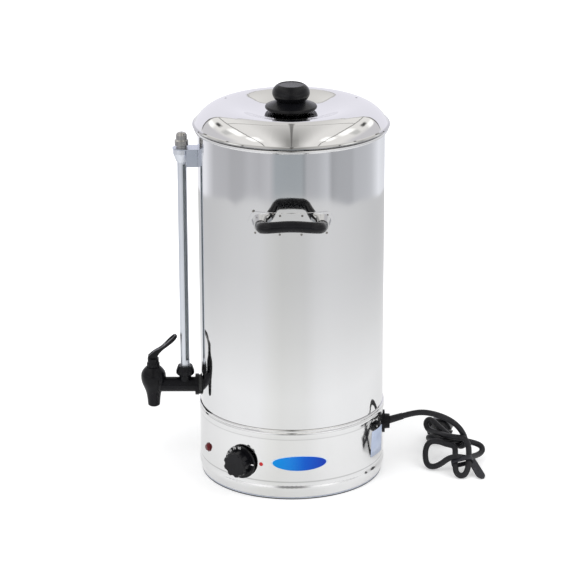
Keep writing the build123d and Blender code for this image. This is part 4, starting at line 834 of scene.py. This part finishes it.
# What the steel mirrors round the urn: a floor with a pale middle, the studio's far side past
# its edge, and a tent low down. A list by turn runs from the back by the left, the front and the right.
floor = {
    "radius": 5.0, "steps": 96, "paint": 0.80,
    "lift": 0.24,  # light of its own that makes it white
    "cameraLift": (0.12, 0.8, 0.09, 0.62),  # more of that for the camera: two distances, two amounts
    "fadeEnd": 2.0,
    "fade": [  # distance from the urn's axis, brightness of the pale middle
        (0.0, 1.0), (0.5, 0.985), (0.6, 0.92), (0.76, 0.82),
        (0.92, (0.75, 0.75, 0.755)), (1.08, (0.705, 0.705, 0.71)), (1.3, (0.69, 0.69, 0.695)),
    ],
    "shade": [  # turn, brightness: a little darker to the front
        (-180, 1.0), (-36, 1.0), (-21.6, (0.93, 0.93, 0.91)), (-10.8, (0.88, 0.88, 0.86)),
        (14.4, (0.89, 0.89, 0.88)), (28.8, 0.97), (43.2, 1.0),
    ],
    "edgeBase": 1.0, "edgeSoft": (-0.015, 0.02),
    "edge": [  # turn, distance at which the pale middle ends
        (-180, 1.420), (-132, 1.435), (-115, 1.465), (-84, 1.506), (-69.4, 1.492), (-55, 1.542),
        (-41, 1.558), (-25, 1.533), (-5, 1.571), (12, 1.570), (43.6, 1.545), (56.6, 1.512),
        (70.6, 1.480), (89.7, 1.479), (117, 1.453), (137, 1.427), (180, 1.420),
    ],
    "farSide": [  # turn, brightness past that edge
        (-180, 0.90), (-150, 1.05), (-126, 1.02), (-116, 0.80), (-106, 0.60), (-84, 0.54), (-75, 0.475),
        (-60, 0.465), (-50, 0.52), (-38, 0.485), (-26, 0.54), (-18, 0.385), (-3, 0.372), (12, 0.38),
        (14.6, 0.33), (18.5, 0.46), (30, 0.48), (43, 0.585), (49, 0.39), (56, 0.43), (76, 0.465),
        (82, 0.54), (102, 0.61), (112, 0.68), (131, 1.0), (155, 0.88), (180, 0.88),
    ],
    "hues": [(-24, (1, 1, 1.04)), (-18, (1, 1.065, 1.12)), (12, (1, 1.065, 1.12)), (18, (1, 1.013, 1.06))],
    "tentFrom": 2.4, "tentTo": 3.6,  # the far side passes into the tent between these distances
}
tent = [  # turn, brightness
    (-180, 0.95), (-110, 0.88), (-88, 0.78), (-60, 1.05), (-38, 1.25), (-24, 1.1), (-13, 0.36),
    (0, 0.30), (12, 0.36), (25, 1.05), (45, 1.3), (62, 1.0), (90, 0.85), (180, 0.95),
]


def addAzimuth(tree, parts):
    # the turn round the axis, as 0 and 1 at the back and 0.5 at the front
    front = addMath(tree, "MULTIPLY", parts["Y"], -1)
    angle = addMath(tree, "ARCTAN2", parts["X"], front)
    return addMath(tree, "MULTIPLY_ADD", angle, 1 / (2 * math.pi), 0.5)


def addTurnRamp(tree, azimuth, turns):
    return addRamp(tree, azimuth, [((turn + 180) / 360, level) for turn, level in turns])


def addFloorMirror(tree, place, parts):
    # the distance from the axis, and the colour that the steel mirrors there
    azimuth = addAzimuth(tree, parts)
    length = addNode(tree, "ShaderNodeVectorMath", operation="LENGTH")
    tree.links.new(place, length.inputs[0])
    reach = length.outputs["Value"]
    fade = [(distance / floor["fadeEnd"], level) for distance, level in floor["fade"]]
    fade = addRamp(tree, addRange(tree, reach, 0, floor["fadeEnd"]), fade)
    middle = addMix(tree, 1, fade, addTurnRamp(tree, azimuth, floor["shade"]), "MULTIPLY")
    hues = addTurnRamp(tree, azimuth, floor["hues"])
    farSide = addMix(tree, 1, addTurnRamp(tree, azimuth, floor["farSide"]), hues, "MULTIPLY")
    toTent = addRange(tree, reach, floor["tentFrom"], floor["tentTo"], smooth=True)
    farSide = addMix(tree, toTent, farSide, addTurnRamp(tree, azimuth, tent))
    edge = [(turn, distance - floor["edgeBase"]) for turn, distance in floor["edge"]]
    edge = addMath(tree, "ADD", addTurnRamp(tree, azimuth, edge), floor["edgeBase"])
    beyond = addRange(tree, addMath(tree, "SUBTRACT", reach, edge), *floor["edgeSoft"], smooth=True)
    return reach, addMix(tree, beyond, middle, farSide)


def floorMaterial():
    material = bpy.data.materials.new("floorSweep")
    material.use_nodes = True
    tree = material.node_tree
    tree.nodes.clear()
    ray = addNode(tree, "ShaderNodeLightPath").outputs
    reach, mirrored = addFloorMirror(tree, *addPlace(tree))
    tint = addMix(tree, ray["Is Glossy Ray"], (1.0, 1.0, 1.0), mirrored)
    diffuse = addNode(tree, "ShaderNodeBsdfDiffuse")
    paint = addMix(tree, 1, (floor["paint"],) * 3, tint, "MULTIPLY")
    tree.links.new(paint, diffuse.inputs["Color"])
    glow = addNode(tree, "ShaderNodeEmission")
    tree.links.new(tint, glow.inputs["Color"])
    seen = addMath(tree, "MAXIMUM", ray["Is Camera Ray"], ray["Is Glossy Ray"])
    seen = addMath(tree, "MAXIMUM", seen, ray["Is Transmission Ray"])
    more = addRange(tree, reach, *floor["cameraLift"], smooth=True)
    more = addMath(tree, "MULTIPLY", more, ray["Is Camera Ray"])
    tree.links.new(addMath(tree, "MULTIPLY_ADD", seen, floor["lift"], more), glow.inputs["Strength"])
    both = addNode(tree, "ShaderNodeAddShader")
    tree.links.new(diffuse.outputs[0], both.inputs[0])
    tree.links.new(glow.outputs[0], both.inputs[1])
    out = addNode(tree, "ShaderNodeOutputMaterial")
    tree.links.new(both.outputs[0], out.inputs["Surface"])
    return material


def floorPiece():
    points, faces = [(0, 0, 0)], []
    for step in range(floor["steps"]):
        angle = 2 * math.pi * step / floor["steps"]
        points.append((floor["radius"] * math.sin(angle), floor["radius"] * math.cos(angle), 0))
        faces.append((0, 1 + (step + 1) % floor["steps"], 1 + step))
    piece = addMesh("floor", points, faces, floorMaterial())


floorPiece()

# The roof is drawn as if it hung one metre up: u is a length to the right, v one to the back.
roof = {
    "lowest": 0.02,  # height of the flattest ray, and flatter ones count as this one
    "high": (0.945, 0.93, 0.90), "low": (0.70, 0.69, 0.71), "highToLow": (1.15, 1.7),
    "dusk": (0.04, 0.04, 0.035),  # darker along the middle, and more so to the front
    "duskWidth": (0.02, 0.42, 1, 0), "duskDepth": (0.9, -0.45, 0.22, 0.66),
    "patches": [  # u and v, half sizes, brightness: three soft boxes a side, darker gaps by them
        (1.12, 0.36, 0.10, 0.09, 0.66), (0.97, 0.98, 0.055, 0.10, 0.10), (0.66, -0.34, 0.07, 0.085, 1.6),
        (0.80, 0.22, 0.06, 0.13, 1.5), (1.28, 1.42, 0.11, 0.17, 1.4),
    ],
    "patchSoft": 2.6, "patchBlue": 0.97,
    "wedge": (0.04, 0.30, 2.45, 1.55),  # the roof's end is furthest back in its middle
    "slantFrom": 0.5, "slant": 0.62,  # and slants back again to both sides
    "sweep": (0.925, 0.915, 0.99), "sweepSoft": (-0.02, 0.04),  # the backdrop past that end
    "line": (0.14, 0.135, 0.13), "lineShare": 0.8, "lineSoft": 1.8,
    "rail": 0.655, "railHalf": 0.012, "bar": 0.85, "barHalf": 0.014,
    "ridge": 0.004, "ridgeHalf": 0.009, "ridgeEnd": 1.5,
    "seamShift": 0.05, "seamHalf": 0.035,  # the seam lies this far in front of the roof's end
    "seamScale": (0.7, 1.2, 1, 0.4), "seamShade": (0.5, 1.1, 0.5, 1.2),  # both by distance from the middle
    "tentTop": (0.16, 0.24),  # the tent passes into the roof between rays of these heights
    "behind": (0.36, 0.40),  # past this part of a turn from the front the backdrop comes right down
    "fill": (0.985, 0.99, 1.0), "fillLight": 0.72,
}


def softBar(tree, value, middle, half, soft):
    # one where a value is near a middle, nought further off
    distance = addMath(tree, "ABSOLUTE", addMath(tree, "SUBTRACT", value, middle))
    return addRange(tree, distance, half, half * soft, 1, 0)


def addPast(tree, sideways, v):
    # how far v is past the roof's end
    slanting = addMath(tree, "MAXIMUM", addMath(tree, "SUBTRACT", sideways, roof["slantFrom"]), 0.0)
    slanting = addMath(tree, "MULTIPLY", slanting, roof["slant"])
    end = addMath(tree, "ADD", addRange(tree, sideways, *roof["wedge"]), slanting)
    return addMath(tree, "SUBTRACT", v, end)


def addRoofLines(tree, u, v, sideways, past):
    # a rail on each side, a bar across between them, a ridge along the middle, a seam by the end
    soft = roof["lineSoft"]
    rail = softBar(tree, sideways, roof["rail"], roof["railHalf"], soft)
    rail = addMath(tree, "MULTIPLY", rail, addMath(tree, "LESS_THAN", past, 0))
    bar = softBar(tree, v, roof["bar"], roof["barHalf"], soft)
    bar = addMath(tree, "MULTIPLY", bar, addMath(tree, "LESS_THAN", sideways, roof["rail"]))
    ridge = softBar(tree, u, roof["ridge"], roof["ridgeHalf"], soft)
    ridge = addMath(tree, "MULTIPLY", ridge, addMath(tree, "LESS_THAN", v, roof["ridgeEnd"]))
    place = addMath(tree, "ADD", past, roof["seamShift"])
    place = addMath(tree, "MULTIPLY", place, addRange(tree, sideways, *roof["seamScale"]))
    seam = softBar(tree, place, 0, roof["seamHalf"], soft)
    seam = addMath(tree, "MULTIPLY", seam, addRange(tree, sideways, *roof["seamShade"]))
    dark = addMath(tree, "MAXIMUM", rail, bar)
    dark = addMath(tree, "MAXIMUM", dark, addMath(tree, "MAXIMUM", ridge, seam))
    return addMath(tree, "MULTIPLY", dark, roof["lineShare"])


def addRoof(tree, u, v):
    sideways = addMath(tree, "ABSOLUTE", u)
    past = addPast(tree, sideways, v)
    toLow = addRange(tree, sideways, *roof["highToLow"], smooth=True)
    color = addMix(tree, toLow, roof["high"], roof["low"])
    width = addRange(tree, sideways, *roof["duskWidth"], smooth=True)
    depth = addRange(tree, v, *roof["duskDepth"])
    color = addMix(tree, addMath(tree, "MULTIPLY", width, depth), color, roof["dusk"])
    for middleU, middleV, halfU, halfV, level in roof["patches"]:
        wide = softBar(tree, sideways, middleU, halfU, roof["patchSoft"])
        deep = softBar(tree, v, middleV, halfV, roof["patchSoft"])
        patch = addMath(tree, "MULTIPLY", wide, deep)
        color = addMix(tree, patch, color, (level, level, level * roof["patchBlue"]))
    color = addMix(tree, addRoofLines(tree, u, v, sideways, past), color, roof["line"])
    color = addMix(tree, addRange(tree, past, *roof["sweepSoft"], smooth=True), color, roof["sweep"])
    return color, past


def addSkyMirror(tree):
    # the colour that the steel mirrors above the floor
    parts = addPlace(tree, "Generated")[1]
    azimuth = addAzimuth(tree, parts)
    safeUp = addMath(tree, "MAXIMUM", parts["Z"], roof["lowest"])
    u = addMath(tree, "DIVIDE", parts["X"], safeUp)
    v = addMath(tree, "DIVIDE", parts["Y"], safeUp)
    color, past = addRoof(tree, u, v)
    rising = addRange(tree, parts["Z"], *roof["tentTop"], smooth=True)
    color = addMix(tree, rising, addTurnRamp(tree, azimuth, tent), color)
    turned = addMath(tree, "ABSOLUTE", addMath(tree, "SUBTRACT", azimuth, 0.5))
    behind = addRange(tree, turned, *roof["behind"], smooth=True)
    behind = addMath(tree, "MULTIPLY", behind, addMath(tree, "GREATER_THAN", past, 0))
    return addMix(tree, behind, color, roof["sweep"])


def addChoice(tree, factor, first, second):
    choice = addNode(tree, "ShaderNodeMixShader")
    tree.links.new(factor, choice.inputs["Fac"])
    tree.links.new(first.outputs[0], choice.inputs[1])
    tree.links.new(second.outputs[0], choice.inputs[2])
    return choice


def buildSky():
    world = bpy.data.worlds.new("studio")
    bpy.context.scene.world = world
    world.use_nodes = True
    tree = world.node_tree
    tree.nodes.clear()
    ray = addNode(tree, "ShaderNodeLightPath").outputs
    mirrored = addNode(tree, "ShaderNodeBackground")
    tree.links.new(addSkyMirror(tree), mirrored.inputs["Color"])
    white = addNode(tree, "ShaderNodeBackground")
    white.inputs["Color"].default_value = (1, 1, 1, 1)
    fill = addNode(tree, "ShaderNodeBackground")
    fill.inputs["Color"].default_value = (*roof["fill"], 1)
    fill.inputs["Strength"].default_value = roof["fillLight"]
    choice = addChoice(tree, ray["Is Glossy Ray"], fill, mirrored)
    clear = addMath(tree, "MAXIMUM", ray["Is Camera Ray"], ray["Is Transmission Ray"])
    choice = addChoice(tree, clear, choice, white)
    out = addNode(tree, "ShaderNodeOutputWorld")
    tree.links.new(choice.outputs[0], out.inputs["Surface"])


buildSky()

lamps = {
    "aim": (0, 0, 0.25),
    "panels": [
        {"name": "key_panel", "place": (-1.3, -1.6, 2.4), "size": 1.6, "power": 26},
        {"name": "fill_panel", "place": (1.6, -1.2, 2.0), "size": 1.8, "power": 16},
    ],
}


def hangLamp(panel):
    data = bpy.data.lights.new(panel["name"], "AREA")
    data.shape = "SQUARE"
    data.size = panel["size"]
    data.energy = panel["power"]
    lamp = addObject(panel["name"], data)
    lamp.location = panel["place"]
    way = Vector(lamps["aim"]) - Vector(panel["place"])
    lamp.rotation_euler = way.to_track_quat("-Z", "Y").to_euler()
    lamp.visible_glossy = False  # the steel mirrors the studio alone


for panel in lamps["panels"]:
    hangLamp(panel)
bpy.context.scene.view_settings.view_transform = "Standard"
print("floor, sky and lamps set")
